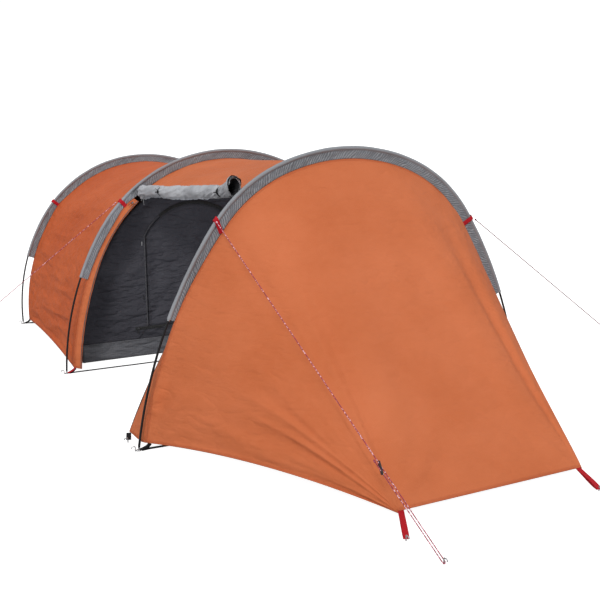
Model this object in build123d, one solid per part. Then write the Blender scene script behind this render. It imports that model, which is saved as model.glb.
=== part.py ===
from build123d import *
import os
from math import acos, atan2, cos, degrees, pi, radians, sin, sqrt

os.makedirs("parts", exist_ok=True)

# ---------------------------------------------------------------------------
# Driving dimensions, in millimetres and degrees.
# +Z is up, +Y runs from the nose to the rear, and the side door faces -X.
# ---------------------------------------------------------------------------

# Lengths along the tent
peg_reach = 140.0
nose_length = 1000.0
bay_front = 1250.0
bay_rear = 1320.0
rear_length = 170.0
overall_length = peg_reach + nose_length + bay_front + bay_rear + rear_length + peg_reach

nose_hem_y = -overall_length / 2 + peg_reach
hoop_1_y = nose_hem_y + nose_length
hoop_2_y = hoop_1_y + bay_front
hoop_3_y = hoop_2_y + bay_rear
rear_hem_y = hoop_3_y + rear_length

# Each hoop: place, lean to the rear, pole centre line at the ground and at the apex,
# and the radius and turn of its top arc and its shoulder arcs. The leg arcs follow.
HOOPS = {
    1: dict(y=hoop_1_y, lean=0.0, half_width=950.0, height=1155.0,
            top=868.0, top_turn=21.0, shoulder=657.0, shoulder_turn=34.5, tab_z=(885.0, 828.0)),
    2: dict(y=hoop_2_y, lean=2.6, half_width=942.0, height=1116.0,
            top=858.0, top_turn=30.0, shoulder=848.0, shoulder_turn=29.0, tab_z=(865.0, 865.0)),
    3: dict(y=hoop_3_y, lean=11.2, half_width=915.0, height=1067.0,
            top=850.0, top_turn=26.0, shoulder=880.0, shoulder_turn=31.0, tab_z=(775.0, 775.0)),
}

# Poles
pole_r = 4.75
pole_bore_r = 2.75
pole_foot_z = 16.0
sections_per_pole = 6
ferrule_r = 5.75
ferrule_bore_r = 4.85
ferrule_length = 60.0
shock_cord_r = 1.25
shock_cord_foot_z = 75.0

# Sleeves: a tunnel for the pole and a fin down to the flysheet
tunnel_r = 8.0
tunnel_bore_r = 6.5
sleeve_end_z = 470.0
fly_inset = 45.0
fin_t = 1.5

# Flysheet and inner tent
fabric_t = 1.5
hem_z = 25.0
hem_drop = 12.0
hem_corner = 8.0
seam_gap = 1.5
nose_half_width = 393.0
rear_half_width = 560.0
door_edge_angle = {1: 33.0, 2: 34.5}
roll_angle = {1: 36.3, 2: 37.3}
door_strip_rear_width = 38.0
door_strip_front_width = 26.0
door_strip_spread_z = 450.0
door_strip_base = 170.0
door_strip_flare = 35.0

inner_inset = 110.0
inner_front_y = hoop_2_y + 150.0
inner_rear_y = hoop_3_y - 65.0
bathtub_height = 100.0

# Inner door: hinged on its -X edge, arched at the top
inner_door_hinge_x = -445.0
inner_door_free_x = 105.0
inner_door_bottom = 168.0
inner_door_arch_r = 310.0
inner_door_top = 850.0
inner_door_gap = 4.0

# Rolled-up side door
roll_r = 31.0
roll_core_r = 15.0
roll_core_depth = 70.0
tie_width = 10.0

# Zips
zip_width = 8.0
zip_t = 2.0
slider_length = 14.0
slider_width = 10.0
slider_t = 4.0
pull_length = 26.0
pull_width = 6.0
pull_t = 1.6

# Webbing, rings, pins and pegs
webbing_w = 20.0
webbing_t = 1.5
tab_reach = 14.0
tab_eye = 13.5
ring_r = 9.0
ring_wire_r = 1.8
pin_r = 2.5
peg_r = 2.0
peg_height = 20.0
peg_arm = 14.0
peg_hook = 7.0
peg_bend = 3.2

# Guy ropes and tensioners
rope_r = 1.75
rope_gap = 10.0
guy_loop_z = 6.0
tensioner_length = 53.0
tensioner_width = 12.0
tensioner_t = 4.0
tensioner_tilt = 20.0
tensioner_bore_r = 2.35
tensioner_rest = 350.0
rope_tail = 24.0
rope_start = 28.0
knot_r = 3.6
knot_length = 8.0
GUYS = {
    "front_left": dict(hoop=1, side=-1, peg=(-440.0, hoop_1_y - 1310.0)),
    "front_right": dict(hoop=1, side=1, peg=(1585.0, hoop_1_y - 380.0)),
    "middle_left": dict(hoop=2, side=-1, peg=(-1590.0, hoop_1_y + 1710.0)),
}


# ---------------------------------------------------------------------------
# Hoop geometry. An arch is followed by its heading angle t: 0 at the apex,
# positive to +X, negative to -X. An inset moves the curve towards the inside.
# ---------------------------------------------------------------------------

def arcs_of(hoop):
    """Centre, radius and turn limits of the top, shoulder and leg arcs of the +X half."""
    top_turn = radians(hoop["top_turn"])
    shoulder_end = top_turn + radians(hoop["shoulder_turn"])
    top_centre = (0.0, hoop["height"] - hoop["top"])
    step = hoop["top"] - hoop["shoulder"]
    shoulder_centre = (step * sin(top_turn), top_centre[1] + step * cos(top_turn))
    joint_x = shoulder_centre[0] + hoop["shoulder"] * sin(shoulder_end)
    joint_z = shoulder_centre[1] + hoop["shoulder"] * cos(shoulder_end)
    to_foot = (hoop["half_width"] - joint_x, -joint_z)
    inward = (-sin(shoulder_end), -cos(shoulder_end))
    along = to_foot[0] * inward[0] + to_foot[1] * inward[1]
    leg_r = (to_foot[0] ** 2 + to_foot[1] ** 2) / (2 * along)
    leg_centre = (joint_x + leg_r * inward[0], joint_z + leg_r * inward[1])
    foot = atan2(hoop["half_width"] - leg_centre[0], -leg_centre[1])
    return [
        (top_centre, hoop["top"], 0.0, top_turn),
        (shoulder_centre, hoop["shoulder"], top_turn, shoulder_end),
        (leg_centre, leg_r, shoulder_end, foot),
    ]


def arch_point(hoop, inset, t):
    """Point of the arch at heading t, as (x, height in the hoop's plane)."""
    size = abs(t)
    for centre, radius, start, end in arcs_of(hoop):
        if size <= end + 1e-9:
            break
    x = centre[0] + (radius - inset) * sin(size)
    return (x if t >= 0 else -x, centre[1] + (radius - inset) * cos(size))


def angle_at_height(hoop, inset, z):
    """Heading at which the +X half of the arch is z high."""
    for centre, radius, start, end in arcs_of(hoop):
        ratio = (z - centre[1]) / (radius - inset)
        t = acos(max(-1.0, min(1.0, ratio)))
        if start <= t <= end:
            return t
    return t


def half_width_at(hoop, inset, z):
    """Distance from the middle to an arch at height z."""
    return arch_point(hoop, inset, angle_at_height(hoop, inset, z))[0]


def arch_edges(hoop, inset, t0, t1):
    """Tangent arcs from heading t0 to heading t1."""
    breaks = [t for _, _, _, end in arcs_of(hoop)[:2] for t in (end, -end)]
    low, high = min(t0, t1), max(t0, t1)
    stops = sorted([t for t in breaks if low + 1e-6 < t < high - 1e-6] + [low, high])
    if t0 > t1:
        stops.reverse()
    edges = []
    for a, b in zip(stops, stops[1:]):
        points = [arch_point(hoop, inset, t) for t in (a, (a + b) / 2, b)]
        edges.append(ThreePointArc(*points))
    return edges


def arch_length_to(hoop, t):
    """Length of the pole's centre line from the apex to heading t, signed."""
    length = 0.0
    for _, radius, start, end in arcs_of(hoop):
        length += radius * max(0.0, min(abs(t), end) - start)
    return length if t >= 0 else -length


def angle_at_length(hoop, length):
    """Heading at a signed length of pole from the apex."""
    rest = abs(length)
    for _, radius, start, end in arcs_of(hoop):
        if rest <= radius * (end - start):
            break
        rest -= radius * (end - start)
    t = start + rest / radius
    return t if length >= 0 else -t


def hoop_plane(hoop, ahead=0.0):
    """Plane of a hoop: X across the tent, Y up the hoop, and its normal to the nose."""
    lean = radians(hoop["lean"])
    normal = (0, -cos(lean), sin(lean))
    return Plane(origin=(0, hoop["y"] - ahead, 0), x_dir=(1, 0, 0), z_dir=normal)


def on_hoop(hoop, shape, ahead=0.0):
    return shape.moved(hoop_plane(hoop, ahead).location)


def row_point(hoop, inset, t, ahead=0.0):
    """Point of the arch in the tent's own frame."""
    x, v = arch_point(hoop, inset, t)
    lean = radians(hoop["lean"])
    return Vector(x, hoop["y"] - ahead + v * sin(lean), v * cos(lean))


def arch_band(hoop, outer, inner, t0, t1):
    """Flat face between two insets of one arch, from heading t0 to t1."""
    outer_run = arch_edges(hoop, outer, t0, t1)
    inner_run = arch_edges(hoop, inner, t1, t0)
    first = Line(arch_point(hoop, outer, t1), arch_point(hoop, inner, t1))
    last = Line(arch_point(hoop, inner, t0), arch_point(hoop, outer, t0))
    return Face(Wire(outer_run + [first] + inner_run + [last]))


def arch_shell_face(hoop, inset, base_z, left=None):
    """Cross-section of a fabric arch, from the +X hem over the top to the other side."""
    right = angle_at_height(hoop, inset, base_z)
    left = -right if left is None else left
    return arch_band(hoop, inset, inset + fabric_t, right, left)


def arch_tube(hoop, radius, bore, t0, t1):
    """Round tube, or rod without a bore, along the pole's centre line."""
    path = Wire(arch_edges(hoop, 0.0, t0, t1))
    start = Plane(origin=path @ 0, z_dir=path % 0)
    tube = sweep(start * Circle(radius), path=path)
    if bore:
        tube = tube - sweep(start * Circle(bore), path=path)
    return tube


# ---------------------------------------------------------------------------
# Small helpers
# ---------------------------------------------------------------------------

def strap(start, end, width, thickness, side=None):
    """Straight webbing from start to end. It lies flat unless side gives its width direction."""
    start, end = Vector(*start), Vector(*end)
    run = end - start
    across = Vector(*side) if side else run.cross(Vector(0, 0, 1))
    plane = Plane(origin=start, x_dir=across, z_dir=run)
    return extrude(plane * Rectangle(width, thickness), run.length)


def save(name, shapes):
    shapes = shapes if isinstance(shapes, list) else [shapes]
    solids = [solid for shape in shapes for solid in shape.solids()]
    whole = solids[0] if len(solids) == 1 else Compound(children=solids)
    whole.label = name
    export_step(whole, f"parts/{name}.step")


def between(low, high, share):
    return low + (high - low) * share


# ---------------------------------------------------------------------------
# Hoops: pole sections, ferrules, shock cords, sleeves and ground straps
# ---------------------------------------------------------------------------

def make_pole(number, hoop):
    foot = angle_at_height(hoop, 0.0, pole_foot_z)
    half = arch_length_to(hoop, foot)
    sections = []
    ferrules = []
    for index in range(sections_per_pole):
        low = between(-half, half, index / sections_per_pole) + 0.2
        high = between(-half, half, (index + 1) / sections_per_pole) - 0.2
        ends = (angle_at_length(hoop, low), angle_at_length(hoop, high))
        sections.append(on_hoop(hoop, arch_tube(hoop, pole_r, pole_bore_r, *ends)))
        if index:
            joint = between(-half, half, index / sections_per_pole)
            ends = [angle_at_length(hoop, joint + s * ferrule_length / 2) for s in (-1, 1)]
            ferrules.append(on_hoop(hoop, arch_tube(hoop, ferrule_r, ferrule_bore_r, *ends)))
    save(f"pole_sections_{number}", sections)
    save(f"ferrules_{number}", ferrules)
    cord_end = angle_at_height(hoop, 0.0, shock_cord_foot_z)
    cord = arch_tube(hoop, shock_cord_r, 0, -cord_end, cord_end)
    save(f"shock_cord_{number}", on_hoop(hoop, cord))


def make_sleeve(number, hoop):
    end = angle_at_height(hoop, 0.0, sleeve_end_z)
    fin_face = arch_band(hoop, tunnel_bore_r + 0.6, fly_inset - 0.5, -end, end)
    fin = extrude(fin_face, fin_t / 2, both=True)
    tunnel = arch_tube(hoop, tunnel_r, tunnel_bore_r, -end, end)
    save(f"sleeve_{number}", on_hoop(hoop, fin + tunnel))


def make_ground_strap(number, hoop):
    half = hoop["half_width"] - ring_r - ring_wire_r - 1.0
    band = Pos(0, hoop["y"], webbing_t / 2) * Box(2 * half, webbing_w, webbing_t)
    save(f"ground_strap_{number}", band)


def make_feet():
    """Pins in the pole ends, ground rings and the tabs that tie the hem to them."""
    pins = []
    rings = []
    tabs = []
    for hoop in HOOPS.values():
        low = angle_at_height(hoop, 0.0, 0.8)
        high = angle_at_height(hoop, 0.0, 60.0)
        collar_low = angle_at_height(hoop, 0.0, pole_foot_z - 5.0)
        collar_high = angle_at_height(hoop, 0.0, pole_foot_z - 0.3)
        for side in (-1, 1):
            pin = arch_tube(hoop, pin_r, 0, side * low, side * high)
            collar = arch_tube(hoop, pole_r, 0, side * collar_low, side * collar_high)
            pins.append(on_hoop(hoop, pin + collar))
            x = side * hoop["half_width"]
            rings.append(Pos(x, hoop["y"], ring_wire_r) * Torus(ring_r, ring_wire_r))
            hem_x = half_width_at(hoop, fly_inset, hem_z)
            start = (side * (hem_x - 2.0), hoop["y"], hem_z - 3.0)
            end = (side * (hoop["half_width"] - ring_r - 2.5), hoop["y"], 5.0)
            tabs.append(strap(start, end, webbing_w, webbing_t))
    save("pole_pins", pins)
    save("foot_rings", rings)
    save("foot_tabs", tabs)


def tab_heading(hoop, side):
    """Heading of the guy tab on this side: tab_z gives its height on the -X and the +X side."""
    return side * angle_at_height(hoop, 0.0, hoop["tab_z"][0 if side < 0 else 1])


def guy_tab(hoop, side):
    """Webbing loop round the sleeve, with its eye outside the pole."""
    t = tab_heading(hoop, side)
    x, v = arch_point(hoop, 0.0, t)
    plane = Plane(origin=(x, v, 0), x_dir=(sin(t), cos(t), 0), z_dir=(cos(t), -sin(t), 0))
    inside = fly_inset - 3.0
    length = inside + tab_reach
    outer = Pos((tab_reach - inside) / 2, 0) * Rectangle(length, 2 * tunnel_r + 5.0)
    inner = Pos((tab_reach - inside) / 2 - webbing_t, 0) * Rectangle(length, 2 * tunnel_r + 2.0)
    band = extrude(plane * (outer - inner), webbing_w / 2, both=True)
    return on_hoop(hoop, band)


# ---------------------------------------------------------------------------
# Flysheet
# ---------------------------------------------------------------------------

def hem_face(half_width, y):
    """Low flat cross-section of a hem, with as many edges as an arch shell."""
    t = fabric_t
    base = hem_z - hem_drop
    corner = hem_z - hem_corner / 2
    top = hem_z + hem_corner / 2
    near, far = half_width - hem_corner, half_width - t
    outer = [(half_width, base), (half_width, corner), (near, top)]
    inner = [(far, base), (far, corner - t / 2), (near - t / 2, top - t)]
    outline = outer + [(-x, z) for x, z in reversed(outer)]
    outline += [(-x, z) for x, z in inner] + list(reversed(inner))
    plane = Plane(origin=(0, y, 0), x_dir=(1, 0, 0), z_dir=(0, -1, 0))
    return Face(Wire.make_polygon(outline, close=True)).moved(plane.location)


def make_fly_panels():
    first, second, third = HOOPS[1], HOOPS[2], HOOPS[3]
    front_arch = on_hoop(first, arch_shell_face(first, fly_inset, hem_z), seam_gap)
    nose = loft([hem_face(nose_half_width, nose_hem_y), front_arch], ruled=True)
    save("fly_nose", nose)

    edges = [-radians(door_edge_angle[n]) for n in (1, 2)]
    roof_front = on_hoop(first, arch_shell_face(first, fly_inset, hem_z, edges[0]), -seam_gap)
    roof_rear = on_hoop(second, arch_shell_face(second, fly_inset, hem_z, edges[1]), seam_gap)
    save("fly_roof_middle", loft([roof_front, roof_rear], ruled=True))

    bay_start = on_hoop(second, arch_shell_face(second, fly_inset, hem_z), -seam_gap)
    bay_end = on_hoop(third, arch_shell_face(third, fly_inset, hem_z), seam_gap)
    save("fly_rear_bay", loft([bay_start, bay_end], ruled=True))


def make_rear_wall():
    """Wall from the leaning rear arch down to a straight hem, in one strip per arc of the arch."""
    third = HOOPS[3]
    side = angle_at_height(third, fly_inset, hem_z)
    arch = on_hoop(third, Wire(arch_edges(third, fly_inset, -side, side)), -seam_gap).edges()
    strips = []
    for index, edge in enumerate(arch):
        ends = [between(-rear_half_width, rear_half_width, (index + n) / len(arch)) for n in (0, 1)]
        hem = Edge.make_line(*[(x, rear_hem_y, hem_z - hem_drop) for x in ends])
        strips.append(extrude(Face.make_surface_from_curves(edge, hem), fabric_t, dir=(0, -1, 0)))
    save("fly_rear_wall", strips[0] + strips[1:])


def make_door_strips():
    """The narrow strips each side of the side door, with their zip tapes."""
    second, first = HOOPS[2], HOOPS[1]
    top_2 = -radians(roll_angle[2] + 3.6)
    foot_2 = -angle_at_height(second, fly_inset, hem_z)
    band = arch_band(second, fly_inset, fly_inset + fabric_t, foot_2, top_2)
    strip = extrude(Pos(0, 0, seam_gap) * band, door_strip_rear_width - seam_gap, dir=(0, 0, 1))
    save("fly_door_strip_rear", on_hoop(second, strip))
    tape = arch_band(second, fly_inset - 0.2 - zip_t, fly_inset - 0.2, foot_2, top_2)
    tape = extrude(Pos(0, 0, door_strip_rear_width - zip_width) * tape, zip_width, dir=(0, 0, 1))
    save("door_zip_rear", on_hoop(second, tape))

    top_1 = -radians(roll_angle[1] + 4.6)
    spread_1 = -angle_at_height(first, fly_inset, door_strip_spread_z)
    band = arch_band(first, fly_inset, fly_inset + fabric_t, spread_1, top_1)
    band = Pos(0, 0, -door_strip_front_width) * band
    upper = extrude(band, door_strip_front_width - seam_gap, dir=(0, 0, 1))
    upper = on_hoop(first, upper)
    tape = arch_band(first, fly_inset - 0.2 - zip_t, fly_inset - 0.2, spread_1, top_1)
    tape = extrude(Pos(0, 0, -door_strip_front_width) * tape, zip_width, dir=(0, 0, 1))
    save("door_zip_front", on_hoop(first, tape))

    x_top, z_top = arch_point(first, fly_inset, spread_1)
    x_foot = -half_width_at(first, fly_inset, hem_z)
    y_near = hoop_1_y + seam_gap
    top_edge = [(x_top, y_near), (x_top, hoop_1_y + door_strip_front_width)]
    base_edge = [(x_foot, y_near), (x_foot - door_strip_flare, hoop_1_y + door_strip_base)]
    ends = []
    for edge, z in ((top_edge, z_top - 0.5), (base_edge, hem_z)):
        (x0, y0), (x1, y1) = edge
        outline = [(x0, y0), (x1, y1), (x1 + fabric_t, y1), (x0 + fabric_t, y0)]
        ends.append(Pos(0, 0, z) * Face(Wire.make_polygon(outline, close=True)))
    save("fly_door_strip_front", [upper, loft(ends, ruled=True)])


# ---------------------------------------------------------------------------
# Rolled side door, its ties and toggles, and the door's zip sliders
# ---------------------------------------------------------------------------

roll_front = row_point(HOOPS[1], fly_inset, -radians(roll_angle[1]), -55.0)
roll_rear = row_point(HOOPS[2], fly_inset, -radians(roll_angle[2]), 45.0)
roll_axis = (roll_rear - roll_front).normalized()
roll_length = (roll_rear - roll_front).length
roll_out = Vector(-1, 0, 0.25)
roll_out = (roll_out - roll_axis * roll_out.dot(roll_axis)).normalized()
toggle_shares = {"front": 0.20, "rear": 0.78}


def make_roll():
    plane = Plane(origin=roll_front, x_dir=roll_out, z_dir=roll_axis)
    roll = extrude(plane * Circle(roll_r), roll_length)
    core = extrude(plane * Circle(roll_core_r), roll_core_depth)
    save("rolled_door", roll - core)
    ties = []
    for name, share in toggle_shares.items():
        at = plane.offset(roll_length * share)
        ring = Circle(roll_r + 1.8) - Circle(roll_r + 0.4)
        ties.append(extrude(at * ring, tie_width / 2, both=True))
        seat = at.origin + roll_out * (roll_r + 1.8 + 0.4)
        toggle = Plane(origin=seat + roll_out * 3.0, x_dir=roll_out, z_dir=roll_axis)
        bar = extrude(toggle * Circle(2.8), 11.0, both=True)
        save(f"roll_toggle_{name}", bar)
    save("roll_ties", ties)


def slider_on_arch(hoop, t, across):
    """Zip slider outside a door strip at heading t. across is its place along the normal."""
    x, v = arch_point(hoop, fly_inset - 0.2 - zip_t - 0.4, t)
    plane = Plane(origin=(x, v, across), x_dir=(cos(t), -sin(t), 0), z_dir=(sin(t), cos(t), 0))
    slider = extrude(plane * RectangleRounded(slider_length, slider_width, 3.0), slider_t)
    loop = plane.offset(slider_t) * (Pos(0, 0, 1.2) * Box(5.0, 3.0, 2.4))
    return slider + loop, plane


def pull_on_arch(plane):
    """Pull tab that lies down the slope, hung on the slider's loop."""
    at = plane.offset(slider_t + 2.4 + 0.4)
    tab = RectangleRounded(pull_length, pull_width, 2.5)
    return extrude(at * (Pos(-pull_length / 2 + pull_t / 2, 0) * tab), pull_t)


def make_door_sliders():
    places = {
        "rear": (HOOPS[2], -radians(roll_angle[2] + 5.6), door_strip_rear_width - zip_width / 2),
        "front": (HOOPS[1], -radians(roll_angle[1] + 6.9), -door_strip_front_width + zip_width / 2),
    }
    for name, (hoop, t, across) in places.items():
        slider, plane = slider_on_arch(hoop, t, across)
        pull = pull_on_arch(plane)
        save(f"door_slider_{name}", on_hoop(hoop, slider))
        save(f"door_pull_{name}", on_hoop(hoop, pull))


# ---------------------------------------------------------------------------
# Inner tent
# ---------------------------------------------------------------------------

inner_front = dict(HOOPS[2], y=inner_front_y, lean=0.0)
inner_rear = dict(HOOPS[3], y=inner_rear_y)

floor_front_half = half_width_at(inner_front, inner_inset, bathtub_height)
floor_rear_half = half_width_at(inner_rear, inner_inset, bathtub_height)


def make_inner_floor():
    """Groundsheet with low walls all round."""
    def outline(inward, z):
        front, rear = floor_front_half - inward, floor_rear_half - inward
        front_y, rear_y = inner_front_y + inward, inner_rear_y - inward
        points = [(-front, front_y), (front, front_y), (rear, rear_y), (-rear, rear_y)]
        return Pos(0, 0, z) * Face(Wire.make_polygon(points, close=True))
    tray = extrude(outline(0.0, 0.0), bathtub_height)
    room = extrude(outline(fabric_t, fabric_t), bathtub_height)
    save("inner_floor", tray - room)


def inner_wall_face(hoop, base):
    """End wall of the inner tent: the flat area inside its arch."""
    inset = inner_inset + fabric_t + 0.5
    side = angle_at_height(hoop, inset, base)
    closing = Line(arch_point(hoop, inset, -side), arch_point(hoop, inset, side))
    return Face(Wire(arch_edges(hoop, inset, side, -side) + [closing]))


def door_outline(grow):
    """Door shape: upright sides, straight bottom and an arched top."""
    left, right = inner_door_hinge_x - grow, inner_door_free_x + grow
    middle = (inner_door_hinge_x + inner_door_free_x) / 2
    radius = inner_door_arch_r + grow
    centre_z = inner_door_top - inner_door_arch_r
    spring = centre_z + sqrt(radius ** 2 - (right - middle) ** 2)
    base = inner_door_bottom - grow
    lines = [
        Line((left, base), (right, base)),
        Line((right, base), (right, spring)),
        ThreePointArc((right, spring), (middle, centre_z + radius), (left, spring)),
        Line((left, spring), (left, base)),
    ]
    return Face(Wire(lines))


def on_front_wall(shape, ahead=0.0):
    return on_hoop(inner_front, shape, ahead)


def make_inner_tent():
    base = bathtub_height + 0.5
    front = on_hoop(inner_front, arch_shell_face(inner_front, inner_inset, base), -fabric_t - 0.5)
    rear = on_hoop(inner_rear, arch_shell_face(inner_rear, inner_inset, base + 5.0), fabric_t + 0.5)
    save("inner_walls", loft([front, rear], ruled=True))

    wall = inner_wall_face(inner_front, base) - door_outline(inner_door_gap)
    save("inner_front_wall", on_front_wall(extrude(wall, fabric_t, dir=(0, 0, -1))))
    rear_wall = extrude(inner_wall_face(inner_rear, base + 5.0), fabric_t / 2, both=True)
    save("inner_rear_wall", on_hoop(inner_rear, rear_wall))
    door = extrude(door_outline(0.0), fabric_t, dir=(0, 0, -1))
    save("inner_door", on_front_wall(door))

    tape = door_outline(inner_door_gap + 1.0 + zip_width) - door_outline(inner_door_gap + 1.0)
    hinge_side = Pos(inner_door_hinge_x - 6.0, 470.0) * Rectangle(zip_width + 12.0, 550.0)
    tape = extrude(tape - hinge_side, zip_t, dir=(0, 0, 1))
    lead_in_z = inner_door_bottom - inner_door_gap - 1.0 - zip_width / 2
    lead_in = Pos(inner_door_hinge_x - 40.0, lead_in_z, zip_t / 2) * Box(80.0, zip_width, zip_t)
    save("inner_door_zip", on_front_wall(tape + lead_in, 0.3))

    slider_x = inner_door_hinge_x - 66.0
    front_of_tape = 0.3 + zip_t + 0.4
    body = extrude(RectangleRounded(slider_length, slider_width, 3.0), slider_t)
    loop = Pos(0, 0, slider_t + 1.2) * Box(3.0, 5.0, 2.4)
    at = Pos(slider_x, lead_in_z, 0)
    save("inner_slider", on_front_wall(at * (body + loop), front_of_tape))
    pull_z = lead_in_z - pull_length / 2 + pull_t / 2
    pull = extrude(RectangleRounded(pull_width, pull_length, 2.5), pull_t)
    pull_ahead = front_of_tape + slider_t + 2.4 + 0.4
    save("inner_pull", on_front_wall(Pos(slider_x, pull_z, 0) * pull, pull_ahead))

    for name, z in (("upper", 625.0), ("lower", 330.0)):
        bar = Rot(90, 0, 0) * Cylinder(2.6, 22.0)
        save(f"inner_toggle_{name}", on_front_wall(Pos(inner_door_hinge_x - 26.0, z, 0) * bar, 5.0))


def make_inner_hangers():
    """Elastic hangers from the inner tent up to the seams at hoops 2 and 3, with their rings."""
    hangers = []
    for hoop, ahead in ((inner_front, -30.0), (inner_rear, 40.0)):
        for t in (-50.0, 0.0, 50.0):
            inner_end = row_point(hoop, inner_inset - 6.0, radians(t), ahead)
            outer_end = row_point(hoop, inner_inset - 46.0, radians(t), ahead)
            hangers.append(strap(inner_end, outer_end, 10.0, 1.5, side=(0, 1, 0)))
    save("inner_hangers", hangers)


def make_inner_corner_straps():
    straps = []
    corners = (
        (floor_front_half, inner_front_y, HOOPS[2]),
        (floor_rear_half, inner_rear_y, HOOPS[3]),
    )
    for half, y, hoop in corners:
        toward = -1 if hoop["y"] < y else 1
        for side in (-1, 1):
            start = (side * (half + 3.0), y + toward * 3.0, 6.0)
            end = (side * (hoop["half_width"] - 20.0), hoop["y"] - toward * 14.0, 4.0)
            straps.append(strap(start, end, 12.0, webbing_t))
    save("inner_corner_straps", straps)


# ---------------------------------------------------------------------------
# Pegs and peg loops
# ---------------------------------------------------------------------------

def peg(x, y, angle):
    """Top of a bent wire peg: the shank above the ground and its hook arm."""
    points = [(0, 0, 0), (0, 0, peg_height), (peg_arm, 0, peg_height)]
    path = FilletPolyline(*points, (peg_arm, 0, peg_height - peg_hook), radius=peg_bend)
    wire = sweep(Plane(origin=(0, 0, 0)) * Circle(peg_r), path=path)
    return Pos(x, y, 0) * Rot(0, 0, angle) * wire


nose_pegs = [(x, nose_hem_y - peg_reach + peg_r, -90.0) for x in (-460.0, 340.0)]
rear_pegs = [(side * 620.0, rear_hem_y + peg_reach - peg_r, 90.0) for side in (-1, 1)]
strip_peg = (-960.0, hoop_1_y + 110.0, 180.0)


def make_peg_loops():
    loops = []
    for side, (x, y, _) in zip((-1, 1), nose_pegs):
        start = (side * (nose_half_width + 3.0), nose_hem_y - 4.0, hem_z - 6.0)
        loops.append(strap(start, (x - side * 3.0, y + 8.0, 6.0), webbing_w, webbing_t))
    save("nose_peg_loops", loops)
    loops = []
    for side, (x, y, _) in zip((-1, 1), rear_pegs):
        start = (side * (rear_half_width + 3.0), rear_hem_y + 4.0, hem_z - 6.0)
        loops.append(strap(start, (x - side * 3.0, y - 8.0, 6.0), webbing_w, webbing_t))
    save("rear_peg_loops", loops)
    x, y, _ = strip_peg
    foot = half_width_at(HOOPS[1], fly_inset, hem_z)
    start = (-foot - door_strip_flare - 1.0, hoop_1_y + door_strip_base - 4.0, hem_z - 6.0)
    save("door_strip_tab", strap(start, (x + 4.0, y + 7.0, 6.0), webbing_w, webbing_t))


def make_pegs():
    pegs = [peg(*place) for place in nose_pegs + rear_pegs + [strip_peg]]
    for hoop in HOOPS.values():
        for side in (-1, 1):
            x = side * (hoop["half_width"] + ring_r + ring_wire_r + peg_r + 0.6)
            pegs.append(peg(x, hoop["y"], 0.0 if side > 0 else 180.0))
    save("pegs", pegs)


# ---------------------------------------------------------------------------
# Guy ropes: each runs from its tab through a tensioner, round its peg and back
# to a knot at the tensioner
# ---------------------------------------------------------------------------

def make_guys():
    knots = []
    pegs = []
    for name, guy in GUYS.items():
        hoop = HOOPS[guy["hoop"]]
        eye = row_point(hoop, -tab_eye, tab_heading(hoop, guy["side"]))
        end = Vector(guy["peg"][0], guy["peg"][1], guy_loop_z)
        along = (end - eye).normalized()
        level = along.cross(Vector(0, 0, 1)).normalized()
        start = eye + along * rope_start
        turn = end + along * (rope_gap / 2)
        back = turn + level * rope_gap
        tail_end = back - along * (tensioner_rest + rope_gap / 2 + rope_tail)
        path = FilletPolyline(start, turn, back, tail_end, radius=rope_gap / 2 - 0.1)
        rope = sweep(Plane(origin=start, z_dir=along) * Circle(rope_r), path=path)
        save(f"guy_rope_{name}", rope)
        print(f"{name}: rope {path.length:.1f} mm long, centre line {start}, {turn}, {back}, {tail_end}")

        knot = extrude(Plane(origin=tail_end, z_dir=-along) * Circle(knot_r), knot_length)
        knots.append(knot)
        knot = extrude(Plane(origin=start, z_dir=-along) * Circle(knot_r), knot_length)
        knots.append(knot)
        middle = end - along * tensioner_rest + level * (rope_gap / 2)
        frame = Plane(origin=middle, x_dir=level, z_dir=along)
        plate = extrude(SlotOverall(tensioner_length, tensioner_width), tensioner_t / 2, both=True)
        plate = Rot(0, tensioner_tilt - 90, 0) * plate
        for x in (-rope_gap / 2, rope_gap / 2):
            plate = plate - Pos(x, 0, 0) * Cylinder(tensioner_bore_r, 2 * tensioner_length)
        save(f"tensioner_{name}", plate.moved(frame.location))
        pegs.append(peg(end.X + level.X * rope_gap / 2, end.Y + level.Y * rope_gap / 2,
                        degrees(atan2(along.Y, along.X))))
    save("guy_knots", knots)
    save("guy_pegs", pegs)


# ---------------------------------------------------------------------------
# Build
# ---------------------------------------------------------------------------

for number, hoop in HOOPS.items():
    make_pole(number, hoop)
    make_sleeve(number, hoop)
    make_ground_strap(number, hoop)
make_feet()
save("guy_tabs", [guy_tab(hoop, side) for hoop in HOOPS.values() for side in (-1, 1)])
make_fly_panels()
make_rear_wall()
make_door_strips()
make_roll()
make_door_sliders()
make_inner_floor()
make_inner_tent()
make_inner_hangers()
make_inner_corner_straps()
make_peg_loops()
make_pegs()
make_guys()
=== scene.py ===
"""Looks of the three-hoop tunnel tent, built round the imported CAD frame. Metres throughout."""

import math

import bpy
import numpy as np
from mathutils import Matrix, Vector


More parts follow.
